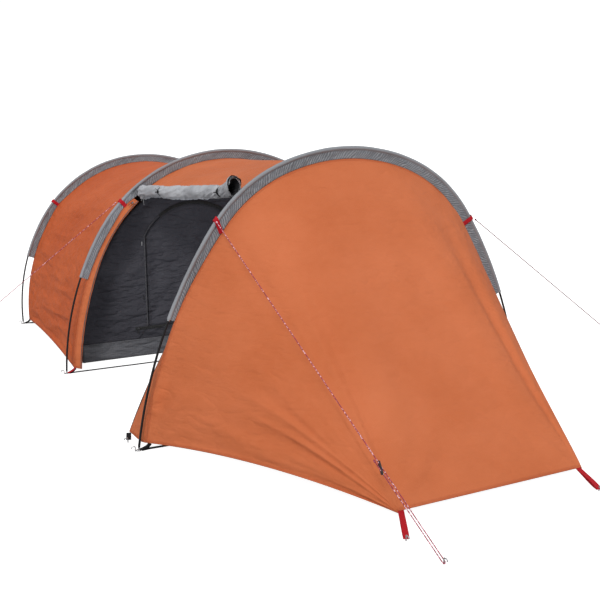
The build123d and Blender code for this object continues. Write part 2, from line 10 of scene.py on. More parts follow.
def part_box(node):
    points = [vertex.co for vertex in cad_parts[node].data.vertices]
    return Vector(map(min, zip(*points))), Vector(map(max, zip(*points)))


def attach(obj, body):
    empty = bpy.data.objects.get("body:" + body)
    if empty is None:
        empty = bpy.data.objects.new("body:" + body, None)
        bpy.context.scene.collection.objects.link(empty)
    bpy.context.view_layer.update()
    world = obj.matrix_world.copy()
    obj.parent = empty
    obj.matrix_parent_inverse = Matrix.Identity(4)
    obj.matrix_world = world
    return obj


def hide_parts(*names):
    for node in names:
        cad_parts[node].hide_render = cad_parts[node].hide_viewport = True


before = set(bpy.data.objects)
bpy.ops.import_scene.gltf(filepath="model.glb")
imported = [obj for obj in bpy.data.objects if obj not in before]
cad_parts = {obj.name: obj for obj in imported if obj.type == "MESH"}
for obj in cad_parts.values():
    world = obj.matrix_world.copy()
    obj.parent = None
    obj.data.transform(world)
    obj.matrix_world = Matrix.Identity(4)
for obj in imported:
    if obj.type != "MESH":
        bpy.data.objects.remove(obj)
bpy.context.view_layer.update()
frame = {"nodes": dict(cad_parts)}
nodes = frame["nodes"]
scene = bpy.context.scene

# --- Short calls for shader nodes ---

class Wire:
    """A node's output. Arithmetic on it adds Math nodes."""

    def __init__(self, nodes, socket):
        self.nodes, self.socket = nodes, socket

    def math(self, operation, *values):
        return self.nodes.out("Math", enumerate((self, *values)), operation=operation)

    def __add__(self, other):
        return self.math("ADD", other)

    def __sub__(self, other):
        return self.math("SUBTRACT", other)

    def __mul__(self, other):
        return self.math("MULTIPLY", other)

    def __truediv__(self, other):
        return self.math("DIVIDE", other)

    def __abs__(self):
        return self.math("ABSOLUTE")

    def span(self, low, high, to_low=0.0, to_high=1.0):
        return self.nodes.out("MapRange", enumerate((self, low, high, to_low, to_high)))


class Nodes:
    """Short calls that add nodes to a tree."""

    def __init__(self, tree):
        self.tree = tree
        tree.nodes.clear()

    def node(self, kind, inputs=(), **settings):
        """A node with these settings, and what goes into its inputs by name or number."""
        node = self.tree.nodes.new("ShaderNode" + kind)
        for key, value in settings.items():
            setattr(node, key, value)
        for key, value in dict(inputs).items():
            socket = node.inputs[key]
            if isinstance(value, Wire):
                self.tree.links.new(value.socket, socket)
            elif socket.type == "RGBA":
                socket.default_value = (*value[:3], 1.0)
            else:
                socket.default_value = value
        return node

    def out(self, kind, inputs=(), output=0, **settings):
        return Wire(self, self.node(kind, inputs, **settings).outputs[output])

    def for_camera(self, seen, otherwise):
        """One shader for camera rays and another for all other rays."""
        ray = self.out("LightPath", output="Is Camera Ray")
        return self.out("MixShader", {0: ray, 1: otherwise, 2: seen})


class Graph(Nodes):
    """A Principled material and short calls for the nodes that feed it."""

    def __init__(self, name, **constants):
        self.material = bpy.data.materials.new(name)
        self.material.use_nodes = True
        super().__init__(self.material.node_tree)
        self.constants = {key.replace("_", " "): value for key, value in constants.items()}

    def place(self):
        return self.out("TexCoord", output="Object")

    def flat(self, map_name="cloth"):
        return self.out("UVMap", output="UV", uv_map=map_name)

    def split(self, vector):
        outputs = self.node("SeparateXYZ", {0: vector}).outputs
        return Wire(self, outputs[0]), Wire(self, outputs[1])

    def stretch(self, vector, scale, turn=0.0):
        return self.out("Mapping", {"Vector": vector, "Scale": scale, "Rotation": (0, 0, turn)})

    def noise(self, vector, scale, detail=2.0, roughness=0.5):
        return self.out("TexNoise", {"Vector": vector, "Scale": scale, "Detail": detail,
                                     "Roughness": roughness}, "Fac")

    def wave(self, vector, scale, direction, distortion=0.0):
        return self.out("TexWave", {"Vector": vector, "Scale": scale, "Distortion": distortion},
                        "Fac", bands_direction=direction)

    def squares(self, vector, size, line):
        """Thin lines round squares, 1 on a line."""
        lines = {"Vector": vector, "Scale": 1.0, "Brick Width": size, "Row Height": size,
                 "Mortar Size": line, "Mortar Smooth": 0.6}
        return self.out("TexBrick", lines, "Fac", offset=0.0)

    def mix(self, share, first, second, blend_type="MIX"):
        return self.out("Mix", {0: share, 6: first, 7: second}, 2, data_type="RGBA", blend_type=blend_type)

    def bump(self, height, distance):
        return self.out("Bump", {"Height": height, "Distance": distance})

    def stitches(self, edge):
        """1 on the thread of the two rows of stitches along a hem."""
        rows = []
        for offset in (0.0030, 0.0100):
            distance, run = self.split(edge)
            row = abs(distance - offset).math("LESS_THAN", STITCH_HALF_WIDTH)
            dash = (run / STITCH_PITCH).math("FRACT").math("LESS_THAN", STITCH_SHARE)
            rows.append(row * dash)
        return rows[0].math("MAXIMUM", rows[1])

    def shade(self, colour, roughness, normal):
        return self.out("BsdfPrincipled", {**self.constants, "Base Color": colour,
                                           "Roughness": roughness, "Normal": normal})

    def done(self, *looks, surface=None):
        self.node("OutputMaterial", {"Surface": surface or self.shade(*looks)})
        return self.material


# --- Camera and light ---

CAMERA_PLACE = (-1.9094, -4.1240, 1.2598)
CAMERA_YAW, CAMERA_PITCH, CAMERA_ROLL = -0.47567, math.pi / 2 - 0.19584, -0.00697
CAMERA_LENS = 53.72
SKY_UP, SKY_LEVELS = (-0.03, -0.50, 0.85), (0.08, 0.90)
SUN_AIM, SUN_ENERGY = (0.52, 0.67, -0.67), 1.36


def make_camera():
    data = bpy.data.cameras.new("camera")
    data.sensor_width = 36.0
    data.lens = CAMERA_LENS
    camera = bpy.data.objects.new("camera", data)
    turn = Matrix.Rotation(CAMERA_YAW, 4, "Z") @ Matrix.Rotation(CAMERA_PITCH, 4, "X")
    turn = turn @ Matrix.Rotation(CAMERA_ROLL, 4, "Z")
    camera.matrix_world = Matrix.Translation(CAMERA_PLACE) @ turn
    scene.collection.objects.link(camera)
    scene.camera = camera


def area_light(name, place, target, size, power, colour):
    data = bpy.data.lights.new(name, "AREA")
    data.shape = "DISK"
    data.size = size
    data.energy = power
    data.color = colour
    light = bpy.data.objects.new(name, data)
    light.location = place
    aim = Vector(target) - Vector(place)
    light.rotation_euler = aim.to_track_quat("-Z", "Y").to_euler()
    scene.collection.objects.link(light)


def make_light():
    world = bpy.data.worlds.new("studio")
    world.use_nodes = True
    g = Nodes(world.node_tree)
    heading = g.out("TexCoord", output="Generated")
    facing = g.out("VectorMath", {0: heading, 1: SKY_UP}, "Value", operation="DOT_PRODUCT")
    level = facing.span(-1.0, 1.0, *SKY_LEVELS)
    around = g.out("Background", {"Color": (0.97, 0.985, 1.0), "Strength": level})
    backdrop = g.out("Background", {"Color": (1.0, 1.0, 1.0), "Strength": 1.05})
    g.node("OutputWorld", {"Surface": g.for_camera(backdrop, around)})
    scene.world = world
    sun = bpy.data.lights.new("sun", "SUN")
    sun.energy = SUN_ENERGY
    sun.angle = math.radians(14.0)
    sun.color = (1.0, 0.985, 0.96)
    lamp = bpy.data.objects.new("sun", sun)
    lamp.rotation_euler = Vector(SUN_AIM).to_track_quat("-Z", "Y").to_euler()
    scene.collection.objects.link(lamp)
    area_light("under_roof", (-0.15, -0.50, 0.68), (-0.15, 0.53, 0.62), 0.5, 4.6, (0.88, 0.94, 1.0))
    scene.view_settings.view_transform = "Standard"


make_camera()
make_light()

# --- Driving dimensions, as in the CAD source ---

HOOPS = {
    1: dict(y=-0.870, lean=0.0, half_width=0.950, height=1.155,
            top=0.868, top_turn=21.0, shoulder=0.657, shoulder_turn=34.5, tab_z=(0.885, 0.828),
            narrow=0.020, pinch=0.0),
    2: dict(y=0.380, lean=2.6, half_width=0.942, height=1.116,
            top=0.858, top_turn=30.0, shoulder=0.848, shoulder_turn=29.0, tab_z=(0.865, 0.865),
            narrow=0.006, pinch=0.014),
    3: dict(y=1.700, lean=11.2, half_width=0.915, height=1.067,
            top=0.850, top_turn=26.0, shoulder=0.880, shoulder_turn=31.0, tab_z=(0.775, 0.775),
            narrow=0.004, pinch=0.008),
}
NOSE_HEM_Y = -1.870
REAR_HEM_Y = 1.870
NOSE_HALF = 0.393
REAR_HALF = 0.560
FLY_INSET = 0.045
HEM_Z = 0.025
SEAM_GAP = 0.0015
FLOOR_Z = -0.0005
SLEEVE_END_Z = {1: (0.512, 0.470), 2: (0.490, 0.470), 3: (0.430, 0.470)}
DOOR_EDGE = {1: 33.0, 2: 34.5}
ROLL_ANGLE = {1: 36.3, 2: 37.3}
STRIP_TOP = {1: ROLL_ANGLE[1] + 4.6, 2: ROLL_ANGLE[2] + 3.6}
ROLL_R = 0.031
WEB_WIDTH, WEB_THICK = 0.020, 0.0014
INNER_INSET = 0.110
INNER_FRONT_Y = 0.530
INNER_REAR_Y = 1.635
BATHTUB = 0.100
INNER_BASE = BATHTUB + 0.0005
INNER_REAR_BASE = INNER_BASE + 0.005


# --- Hoop geometry: a point of an arch is found by its heading t, 0 at the apex ---

def arcs_of(hoop):
    """(centre x, centre z, radius, first heading, last heading) of the arcs of the +X half."""
    top_turn = math.radians(hoop["top_turn"])
    shoulder_end = top_turn + math.radians(hoop["shoulder_turn"])
    top_z = hoop["height"] - hoop["top"]
    step = hoop["top"] - hoop["shoulder"]
    sx, sz = step * math.sin(top_turn), top_z + step * math.cos(top_turn)
    jx = sx + hoop["shoulder"] * math.sin(shoulder_end)
    jz = sz + hoop["shoulder"] * math.cos(shoulder_end)
    fx, fz = hoop["half_width"] - jx, -jz
    ix, iz = -math.sin(shoulder_end), -math.cos(shoulder_end)
    leg_r = (fx * fx + fz * fz) / (2 * (fx * ix + fz * iz))
    lx, lz = jx + leg_r * ix, jz + leg_r * iz
    foot = math.atan2(hoop["half_width"] - lx, -lz)
    return [
        (0.0, top_z, hoop["top"], 0.0, top_turn),
        (sx, sz, hoop["shoulder"], top_turn, shoulder_end),
        (lx, lz, leg_r, shoulder_end, foot),
    ]


def arch(hoop, inset, t):
    """x and in-plane height of the arch at headings t."""
    t = np.asarray(t, float)
    size = np.abs(t)
    x, v = np.zeros_like(size), np.zeros_like(size)
    for cx, cz, r, start, _ in arcs_of(hoop):
        use = size >= start - 1e-9
        x = np.where(use, cx + (r - inset) * np.sin(size), x)
        v = np.where(use, cz + (r - inset) * np.cos(size), v)
    return np.where(t < 0, -x, x), v


def on_hoop(hoop, x, v, ahead=0.0):
    """Points in the row frame from points in a hoop's leaning plane, moved ahead along -Y."""
    lean = math.radians(hoop["lean"])
    x, v, ahead = np.broadcast_arrays(x, v, ahead)
    return np.stack([x, hoop["y"] - ahead + v * math.sin(lean), v * math.cos(lean)], axis=-1)


def arch_points(hoop, inset, t, ahead=0.0):
    x, v = arch(hoop, inset, t)
    return on_hoop(hoop, x, v, ahead)


def seam_inset(hoop, t):
    """Width of the sleeve at headings t: narrower down the legs and pinched at the -X guy tab."""
    t = np.asarray(t, float)
    start, end = (angle_at_height(hoop, 0.0, z) for z in (0.88, 0.48))
    pinched = angle_at_height(hoop, 0.0, hoop["tab_z"][0])
    narrow = hoop["narrow"] * smooth((-t - start) / (end - start))
    return FLY_INSET - narrow - hoop["pinch"] * np.exp(-((t + pinched) / 0.10) ** 2)


def seam_gap(hoop, t):
    """Half the gap for the sleeve's fin at headings t; below the sleeve the panels meet."""
    t = np.asarray(t, float)
    left, right = SLEEVE_END_Z[next(k for k, h in HOOPS.items() if h["y"] == hoop["y"])]
    _, v = arch(hoop, FLY_INSET, t)
    return 0.0002 + (SEAM_GAP - 0.0002) * smooth((v - np.where(t < 0, left, right) + 0.002) / 0.010)


def angle_at_height(hoop, inset, z):
    """Heading at which the +X half is z high in the hoop's plane."""
    t = np.linspace(0, arcs_of(hoop)[2][4] + 0.2, 4000)
    _, v = arch(hoop, inset, t)
    return float(np.interp(-z, -v, t))


def even_headings(hoop, inset, t0, t1, shares):
    """Headings from t0 to t1 at these shares of the curve's length."""
    t = np.linspace(t0, t1, 2000)
    x, v = arch(hoop, inset, t)
    length = np.concatenate([[0], np.cumsum(np.hypot(np.diff(x), np.diff(v)))])
    return np.interp(np.asarray(shares) * length[-1], length, t)


def unit(v):
    return v / np.maximum(np.linalg.norm(v, axis=-1, keepdims=True), 1e-12)


def smooth(x):
    x = np.clip(x, 0, 1)
    return x * x * (3 - 2 * x)


def column(values):
    return np.asarray(values)[:, None]


def from_ends(share):
    """Distance from the nearer end of a run of shares from 0 to 1."""
    return np.minimum(share, 1 - share)


def blend(first, second, share):
    return first * (1 - share) + second * share


def travelled(path):
    """Length of the path up to each of its points."""
    steps = np.linalg.norm(np.diff(path, axis=0), axis=1)
    return np.concatenate([[0], np.cumsum(steps)])


def follow(s, length, path):
    """Points of a path at the lengths s."""
    return np.stack([np.interp(s, length, k) for k in np.asarray(path).T], -1)


def even_points(path, count, endpoint=True):
    """Evenly spaced points along straight pieces."""
    length = travelled(path)
    return follow(np.linspace(0, length[-1], count, endpoint=endpoint), length, path)


def ahead_of(hoop):
    """Unit vector square to a hoop's plane, towards the nose."""
    lean = math.radians(hoop["lean"])
    return np.array([0.0, -math.cos(lean), math.sin(lean)])


def outward_at(hoop, t):
    """Unit vectors out of the hoop at headings t, in its plane."""
    lean = math.radians(hoop["lean"])
    return np.stack([np.sin(t), np.cos(t) * math.sin(lean), np.cos(t) * math.cos(lean)], -1)


# --- Seeded noise and folds ---

def noise(x, y, seed):
    """Smooth noise from -1 to 1 with unit cells."""
    x, y = np.broadcast_arrays(np.asarray(x, float), np.asarray(y, float))
    xi, yi = np.floor(x).astype(np.int64), np.floor(y).astype(np.int64)
    fx, fy = smooth(x - xi), smooth(y - yi)

    def corner(a, b):
        n = (a * 374761393 + b * 668265263 + seed * 982451653) & 0xFFFFFFFF
        n = ((n ^ (n >> 13)) * 1274126177) & 0xFFFFFFFF
        return ((n ^ (n >> 16)) & 0xFFFF) / 32767.5 - 1

    low = corner(xi, yi) * (1 - fx) + corner(xi + 1, yi) * fx
    high = corner(xi, yi + 1) * (1 - fx) + corner(xi + 1, yi + 1) * fx
    return low * (1 - fy) + high * fy


def layered(x, y, seed, layers=3):
    return sum(noise(x * 2 ** k, y * 2 ** k, seed + k) / 2 ** k for k in range(layers))


def radial_folds(points, centre, reach, spokes, height, seed, plane):
    """Folds that fan out from a point that a peg or tab pulls on."""
    away = points - np.array(centre)
    angle = np.arctan2(away[..., plane[1]], away[..., plane[0]])
    r = np.linalg.norm(away, axis=-1) / reach
    fade = np.exp(-r ** 2) * (1 - np.exp(-(r / 0.4) ** 2))
    return height * fade * noise(angle * spokes, r * 1.6, seed)


def paired_folds(points, place, reach, height, seeds, plane):
    """Radial folds at a place on the +X side and its mirror image, each on its own side."""
    folds = 0.0
    for sign, seed in zip((-1, 1), seeds):
        half = smooth(sign * points[..., 0] / 0.2)
        centre = (sign * place[0], *place[1:])
        folds = folds + half * radial_folds(points, centre, reach, 5.0, height, seed, plane)
    return folds


def normals_of(points, away):
    """Unit normals of a grid of points, on the side that looks away from a point."""
    across = np.gradient(points, axis=0)
    along = np.gradient(points, axis=1)
    normal = unit(np.cross(across, along))
    if np.sum(normal * (points - np.array(away))) < 0:
        normal = -normal
    return normal


# --- Meshes ---

def mesh_object(name, points, faces, uvs=None, indices=None, materials=()):
    """A smooth-shaded mesh. uvs gives one (u, v) per point for each named map."""
    mesh = bpy.data.meshes.new(name)
    mesh.from_pydata(np.asarray(points).tolist(), [], faces)
    mesh.polygons.foreach_set("use_smooth", [True] * len(mesh.polygons))
    if indices is not None:
        mesh.polygons.foreach_set("material_index", indices)
    corner = np.zeros(len(mesh.loops), np.int64)
    mesh.loops.foreach_get("vertex_index", corner)
    for map_name, values in (uvs or {}).items():
        layer = mesh.uv_layers.new(name=map_name)
        layer.data.foreach_set("uv", np.asarray(values, np.float32)[corner].ravel())
    for material in materials:
        mesh.materials.append(material)
    mesh.update()
    piece = bpy.data.objects.new(name, mesh)
    scene.collection.objects.link(piece)
    return piece


def quads_of(index, around=False):
    """Quads over a grid of point numbers. around joins its last column to its first."""
    if around:
        index = np.concatenate([index, index[:, :1]], axis=1)
    corners = index[:-1, :-1], index[1:, :-1], index[1:, 1:], index[:-1, 1:]
    return np.stack(corners, axis=-1).reshape(-1, 4)


def stations(length, count, fine=(0.004, 0.0115, 0.0128, 0.02)):
    """Shares from 0 to 1: even in the middle, with close rows for a hem at both ends."""
    close = np.array(fine) / length
    middle = np.linspace(0, 1, count)
    middle = middle[(middle > close[-1] * 1.3) & (middle < 1 - close[-1] * 1.3)]
    return np.concatenate([[0.0], close, middle, 1 - close[::-1], [1.0]])


def lengths(points, axis):
    """Distance travelled along one axis of a grid of points."""
    step = np.linalg.norm(np.diff(points, axis=axis), axis=-1)
    pad = [(0, 0), (0, 0)]
    pad[axis] = (1, 0)
    return np.cumsum(np.pad(step, pad), axis=axis)


def cloth(name, points, away, outside, inside, hem=0.012, thick=0.0010, fold=0.0007):
    """A closed thin sheet from a grid of points, thicker along its hems, with two UV maps in
    metres: cloth, over the sheet, and edge, (distance from the nearest hem, distance along it)."""
    rows, cols = points.shape[:2]
    normal = normals_of(points, away)
    u, v = lengths(points, 0), lengths(points, 1)
    sides = np.stack([u, u[-1:] - u, v, v[:, -1:] - v])
    nearest = sides.argmin(0)
    edge = sides.min(0)
    run = np.where(nearest < 2, v, u)
    middle = rows // 2
    flat = np.stack([u - u[middle:middle + 1], np.broadcast_to(v[middle], v.shape)], axis=-1)
    lift = np.where(edge < hem, fold, 0.0)[..., None]
    front = points + normal * (thick / 2 + lift)
    back = points - normal * (thick / 2)
    index = np.arange(rows * cols).reshape(rows, cols)
    quads = quads_of(index)
    faces_up = np.cross(points[1, 0] - points[0, 0], points[0, 1] - points[0, 0]) @ normal[0, 0] > 0
    if not faces_up:
        quads = quads[:, ::-1]
    loop = np.concatenate([index[:, 0], index[-1, 1:], index[-2::-1, -1], index[0, -2:0:-1]])
    if faces_up:
        loop = loop[::-1]
    after = np.roll(loop, -1)
    total = rows * cols
    rim = np.stack([loop, after, after + total, loop + total], axis=-1)
    faces = np.concatenate([quads, quads[:, ::-1] + total, rim])
    indices = [0] * len(quads) + [1] * len(quads) + [0] * len(rim)
    both = np.concatenate([front.reshape(-1, 3), back.reshape(-1, 3)])
    maps = {"cloth": np.tile(flat.reshape(-1, 2), (2, 1)),
            "edge": np.tile(np.stack([edge, run], -1).reshape(-1, 2), (2, 1))}
    return mesh_object(name, both, faces.tolist(), maps, indices, (outside, inside))


def rounded_section(width, thickness, points=5):
    """Closed outline of a strap: flat faces and rounded edges, as (across, up)."""
    r = thickness / 2
    outline = []
    for side, turn in ((1, -90), (-1, 90)):
        for a in np.radians(np.linspace(turn, turn + 180, points)):
            outline.append((side * (width / 2 - r) + r * math.cos(a), r * math.sin(a)))
    return outline


def resample(path, count):
    """Evenly spaced points on a smooth curve through the path's points."""
    path = np.asarray(path, float)
    length = travelled(path)
    s = np.linspace(0, length[-1], count)
    tangent = np.gradient(path, length, axis=0)
    k = np.clip(np.searchsorted(length, s, side="right") - 1, 0, len(path) - 2)
    h = (length[k + 1] - length[k])[:, None]
    q = ((s - length[k])[:, None]) / h
    return ((1 + 2 * q) * (1 - q) ** 2 * path[k] + q * (1 - q) ** 2 * h * tangent[k]
            + q * q * (3 - 2 * q) * path[k + 1] + q * q * (q - 1) * h * tangent[k + 1])


def sweep(name, path, sections, across, material, closed=False):
    """Sweeps an outline of (across, up) points along a path. across gives the width direction,
    one for the whole path or one per point, and sections one outline or one per point."""
    path = np.asarray(path, float)
    if closed:
        tangent = unit(np.roll(path, -1, 0) - np.roll(path, 1, 0))
    else:
        tangent = unit(np.gradient(path, axis=0))
    across = np.broadcast_to(np.asarray(across, float), path.shape)
    across = unit(across - tangent * np.sum(across * tangent, -1, keepdims=True))
    up = np.cross(tangent, across)
    sections = np.asarray(sections, float)
    if sections.ndim == 2:
        sections = np.broadcast_to(sections, (len(path),) + sections.shape)
    n, m = sections.shape[:2]
    points = (path[:, None] + across[:, None] * sections[..., :1]
              + up[:, None] * sections[..., 1:2]).reshape(-1, 3)
    index = np.arange(n * m).reshape(n, m)
    rings = np.concatenate([index, index[:1]]) if closed else index
    faces = quads_of(rings, True)[:, [0, 3, 2, 1]].tolist()
    if not closed:
        faces += [index[0, ::-1].tolist(), index[-1].tolist()]
    flat = np.stack([sections[..., 0], np.broadcast_to(column(travelled(path)), (n, m))], -1)
    return mesh_object(name, points, faces, {"cloth": flat.reshape(-1, 2)}, None, (material,))


def strap(name, path, width, thickness, across, material, count=None):
    """Flat webbing with rounded edges along a smooth path."""
    return sweep(name, resample(path, count or 8 * len(path)),
                 rounded_section(width, thickness), across, material)


def join(name, pieces):
    """Joins mesh pieces with the same materials into one."""
    with bpy.context.temp_override(active_object=pieces[0], selected_editable_objects=pieces,
                                   object=pieces[0], selected_objects=pieces):
        bpy.ops.object.join()
    pieces[0].name = name
    pieces[0].data.name = name
    return pieces[0]


def finish_piece(piece, body="tent", replaces=()):
    if replaces:
        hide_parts(*replaces)
    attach(piece, body)
    return piece


def cloth_piece(name, points, away, sides, slot, node, body="tent", **make):
    """Cloth that stands for a CAD node."""
    return finish_piece(cloth(name, points, away, *sides, **make), body, (node,))


# --- Materials ---

STITCH_HALF_WIDTH, STITCH_PITCH, STITCH_SHARE = 0.00045, 0.0035, 0.68
WEAVE_PITCH = 0.0006


def ripstop(name, low, high, thread, rough, check=0.005, crinkle=0.0026):
    """Thin coated ripstop: a square grid of thick threads, a fine weave, crinkles, worn patches,
    a darker double layer along hems and two rows of stitches."""
    g = Graph(name, Specular_IOR_Level=0.10)
    body, flat, edge = g.place(), g.flat(), g.flat("edge")
    mottle = g.noise(body, 34.0, 3.0, 0.6)
    grid = g.squares(flat, check, check * 0.07)
    distance, _ = g.split(edge)
    rub = distance.span(0.0022, 0.0) * mottle.span(0.4, 0.6)
    rows = g.stitches(edge)
    colour = g.mix(g.noise(body, 2.6, 4.0, 0.55).span(0.32, 0.68), low, high)
    colour = g.mix(mottle.span(0.35, 0.75, 0.0, 0.10), colour, thread)
    colour = g.mix(grid * 0.28, colour, thread)
    colour = g.mix(distance.span(0.0125, 0.0115) * 0.22, colour, low, "MULTIPLY")
    colour = g.mix(rub * 0.35, colour, thread)
    colour = g.mix(rows * 0.7, colour, thread)
    weave = g.wave(flat, 0.5 / WEAVE_PITCH, "X") * g.wave(flat, 0.5 / WEAVE_PITCH, "Y")
    creases = g.noise(g.stretch(body, (1.0, 2.3, 1.4), 0.4), 11.0, 5.0, 0.62)
    fold = abs(g.noise(g.stretch(body, (1.0, 1.0, 2.6), 0.5), 6.0, 3.0) - 0.5)
    creases = creases + fold.span(0.0, 0.14) * 1.1
    height = creases * (crinkle / 0.0003) + weave + grid * 0.7 + rows * 1.6
    return g.done(colour, mottle.span(0.3, 0.7, rough - 0.06, rough + 0.08), g.bump(height, 0.0003))


# pale is the colour of the grid threads and stitches, and also of the painted highlights
def ruched(name, low, high, pale, rough):
    """Sleeve ripstop gathered along its seams: slanting ridges with a painted highlight on their crests
    and painted shade in their troughs, and a painted highlight along the tunnel that the pole stretches."""
    g = Graph(name, Specular_IOR_Level=0.12)
    body, flat = g.place(), g.flat()
    depth, run = g.split(flat)
    wander = g.noise(body, 17.0, 3.0, 0.55)
    phase = (run + depth * 0.85) / 0.0125 + wander * 3.4
    ridge = abs((phase * math.pi).math("SINE"))
    fin = depth.span(0.006, 0.012)
    uneven = g.noise(body, 31.0, 3.0, 0.6).span(0.35, 0.65, 0.25, 1.0)
    patches = g.noise(body, 5.0, 4.0, 0.55)
    grid = g.squares(flat, 0.006, 0.0004)
    colour = g.mix(patches.span(0.35, 0.65), low, high)
    # painted highlight on the crests of the ridges
    colour = g.mix(ridge.span(0.55, 1.0) * uneven * fin * 0.70, colour, pale)
    # painted shade in the troughs between the ridges
    colour = g.mix(ridge.span(0.5, 0.0) * uneven * fin * 0.50, colour, tuple(c * 0.42 for c in low))
    # painted highlight along the rounded tunnel round the pole
    colour = g.mix(depth.span(0.0125, 0.0050) * 0.40, colour, pale)
    colour = g.mix(grid * 0.22, colour, pale)
    colour = g.mix(g.stitches(g.flat("edge")) * 0.5, colour, pale)
    height = ridge * uneven * (fin * 5.0 + 0.6) + grid * 0.5
    return g.done(colour, patches.span(0.3, 0.7, rough - 0.06, rough + 0.08), g.bump(height, 0.0003))


def coating(name, low, high):
    """Silvery waterproof coating on the inside of a fabric, with faint creases and dull streaks."""
    g = Graph(name, Specular_IOR_Level=0.45)
    body = g.place()
    streak = g.noise(g.stretch(body, (1.0, 6.0, 2.0), 0.3), 14.0, 4.0, 0.55)
    grid = g.squares(g.flat(), 0.005, 0.00035)
    colour = g.mix(g.noise(body, 7.0, 5.0, 0.6).span(0.3, 0.7), low, high)
    colour = g.mix(streak.span(0.55, 0.75, 0.0, 0.35), colour, high)
    colour = g.mix(grid * 0.2, colour, low)
    return g.done(colour, streak.span(0.3, 0.7, 0.34, 0.52), g.bump(streak * 5.0 + grid, 0.0004))


def webbing(name, low, high, rough=0.62, rib=0.0022):
    """Woven narrow webbing: chevron ribs across and a few loose fibres."""
    g = Graph(name, Specular_IOR_Level=0.2)
    body = g.place()
    across, along = g.split(g.flat())
    phase = (along + abs(across) * 0.9) / rib
    ribs = abs((phase * math.pi).math("SINE"))
    fibres = g.noise(g.stretch(body, (900.0, 900.0, 900.0)), 1.0)
    colour = g.mix(ribs * 0.75, low, high)
    colour = g.mix(g.noise(body, 60.0, 3.0).span(0.5, 0.8, 0.0, 0.25), colour, high)
    roughness = fibres.span(0.2, 0.8, rough - 0.07, rough + 0.08)
    return g.done(colour, roughness, g.bump(ribs + fibres * 0.5, 0.0004))


def metal(name, low, high, rough):
    """Drawn steel with fine scratches, smudges and dull spots."""
    g = Graph(name, Metallic=1.0)
    body = g.place()
    smudge = g.noise(body, 55.0, 4.0, 0.6)
    lines = g.noise(g.stretch(body, (1.0, 1.0, 0.08)), 1080.0)
    roughness = smudge.span(0.3, 0.7, rough - 0.08, rough + 0.12) + lines * 0.08
    return g.done(g.mix(smudge.span(0.35, 0.7), low, high), roughness, g.bump(lines, 0.00006))


def plastic(name, low, high, rough):
    """Moulded plastic: fine spark-eroded grain, soft scuffs and a little dust."""
    g = Graph(name, Specular_IOR_Level=0.45)
    body = g.place()
    scuff = g.noise(body, 90.0, 4.0, 0.6)
    return g.done(g.mix(scuff.span(0.4, 0.75), low, high), scuff.span(0.3, 0.7, rough - 0.07, rough + 0.12),
                  g.bump(g.noise(body, 1400.0), 0.00005))


def fibreglass(name):
    """Pultruded black rod: faint lengthwise fibres under a worn resin skin."""
    g = Graph(name, Specular_IOR_Level=0.25)
    body = g.place()
    fibres = g.noise(g.stretch(body, (1.0, 1.0, 0.12)), 700.0, 3.0)
    scuff = g.noise(body, 26.0, 5.0, 0.65)
    colour = g.mix(fibres.span(0.35, 0.7), (0.006, 0.006, 0.007), (0.014, 0.014, 0.016))
    colour = g.mix(scuff.span(0.6, 0.8, 0.0, 0.3), colour, (0.04, 0.04, 0.043))
    return g.done(colour, scuff.span(0.3, 0.75, 0.36, 0.55), g.bump(fibres, 0.00006))


def braid(name, low, high, fleck, pitch=0.0045, fleck_share=0.5):
    """Round braided cord: crossing plaits with flecks of a second yarn."""
    g = Graph(name, Sheen_Weight=0.2, Sheen_Roughness=0.5)
    body = g.place()
    one, two = (g.wave(g.stretch(body, scale), 0.16 / pitch, "DIAGONAL", 1.5)
                for scale in ((1.0, 0.6, 1.5), (-0.7, 1.0, 1.3)))
    plaits = one * two
    flecks = g.noise(body, 150.0, 1.0).span(1 - fleck_share, 1.04 - fleck_share)
    colour = g.mix(flecks, g.mix(plaits, low, high), fleck)
    return g.done(colour, plaits.span(0, 1, 0.5, 0.72), g.bump(plaits, 0.0004))


def zip_tape(name, low, high):
    """Herringbone zip tape."""
    g = Graph(name, Sheen_Weight=0.1)
    across, along = g.split(g.flat())
    wave = ((along + across) * (2 * math.pi / 0.0012)).math("SINE")
    dust = g.noise(g.place(), 40.0, 4.0)
    colour = g.mix(dust.span(0.4, 0.75), low, high)
    return g.done(colour, dust.span(0.3, 0.7, 0.5, 0.7), g.bump(wave, 0.0002))


def floor_material():
    """Pale floor that camera rays see nearly white."""
    g = Graph("studio_floor", Specular_IOR_Level=0.1)
    cloud = g.noise(g.place(), 0.8, 3.0)
    colour = g.mix(cloud, (0.42, 0.42, 0.42), (0.45, 0.45, 0.45))
    lit = g.shade(colour, cloud.span(0.3, 0.7, 0.82, 0.9), g.bump(cloud, 0.0002))
    pale = g.out("Emission", {"Color": (1.0, 1.0, 1.0), "Strength": 0.95})
    return g.done(surface=g.for_camera(g.out("AddShader", {0: lit, 1: pale}), lit))


ORANGE = ripstop("orange_ripstop", (0.580, 0.146, 0.051), (0.665, 0.183, 0.073), (0.72, 0.26, 0.13), 0.56)
# A darker, more saturated copy of the same orange ripstop: painted shade for the rear bay and rear wall
ORANGE_SHADED = ripstop("orange_ripstop_rear_shaded", (0.525, 0.098, 0.027), (0.615, 0.130, 0.040),
                      (0.67, 0.20, 0.08), 0.56, crinkle=0.0042)
ORANGE_BACK = coating("fly_coating", (0.33, 0.13, 0.07), (0.42, 0.19, 0.11))
DOOR_GREY = coating("door_coating", (0.36, 0.365, 0.395), (0.62, 0.63, 0.665))
# Near-black for the inner turns of the rolled door: painted shade inside the roll, not the cloth's own
# colour
DOOR_PAINTED_SHADE = coating("door_inner_turns_painted_shade", (0.030, 0.030, 0.033), (0.060, 0.060, 0.066))
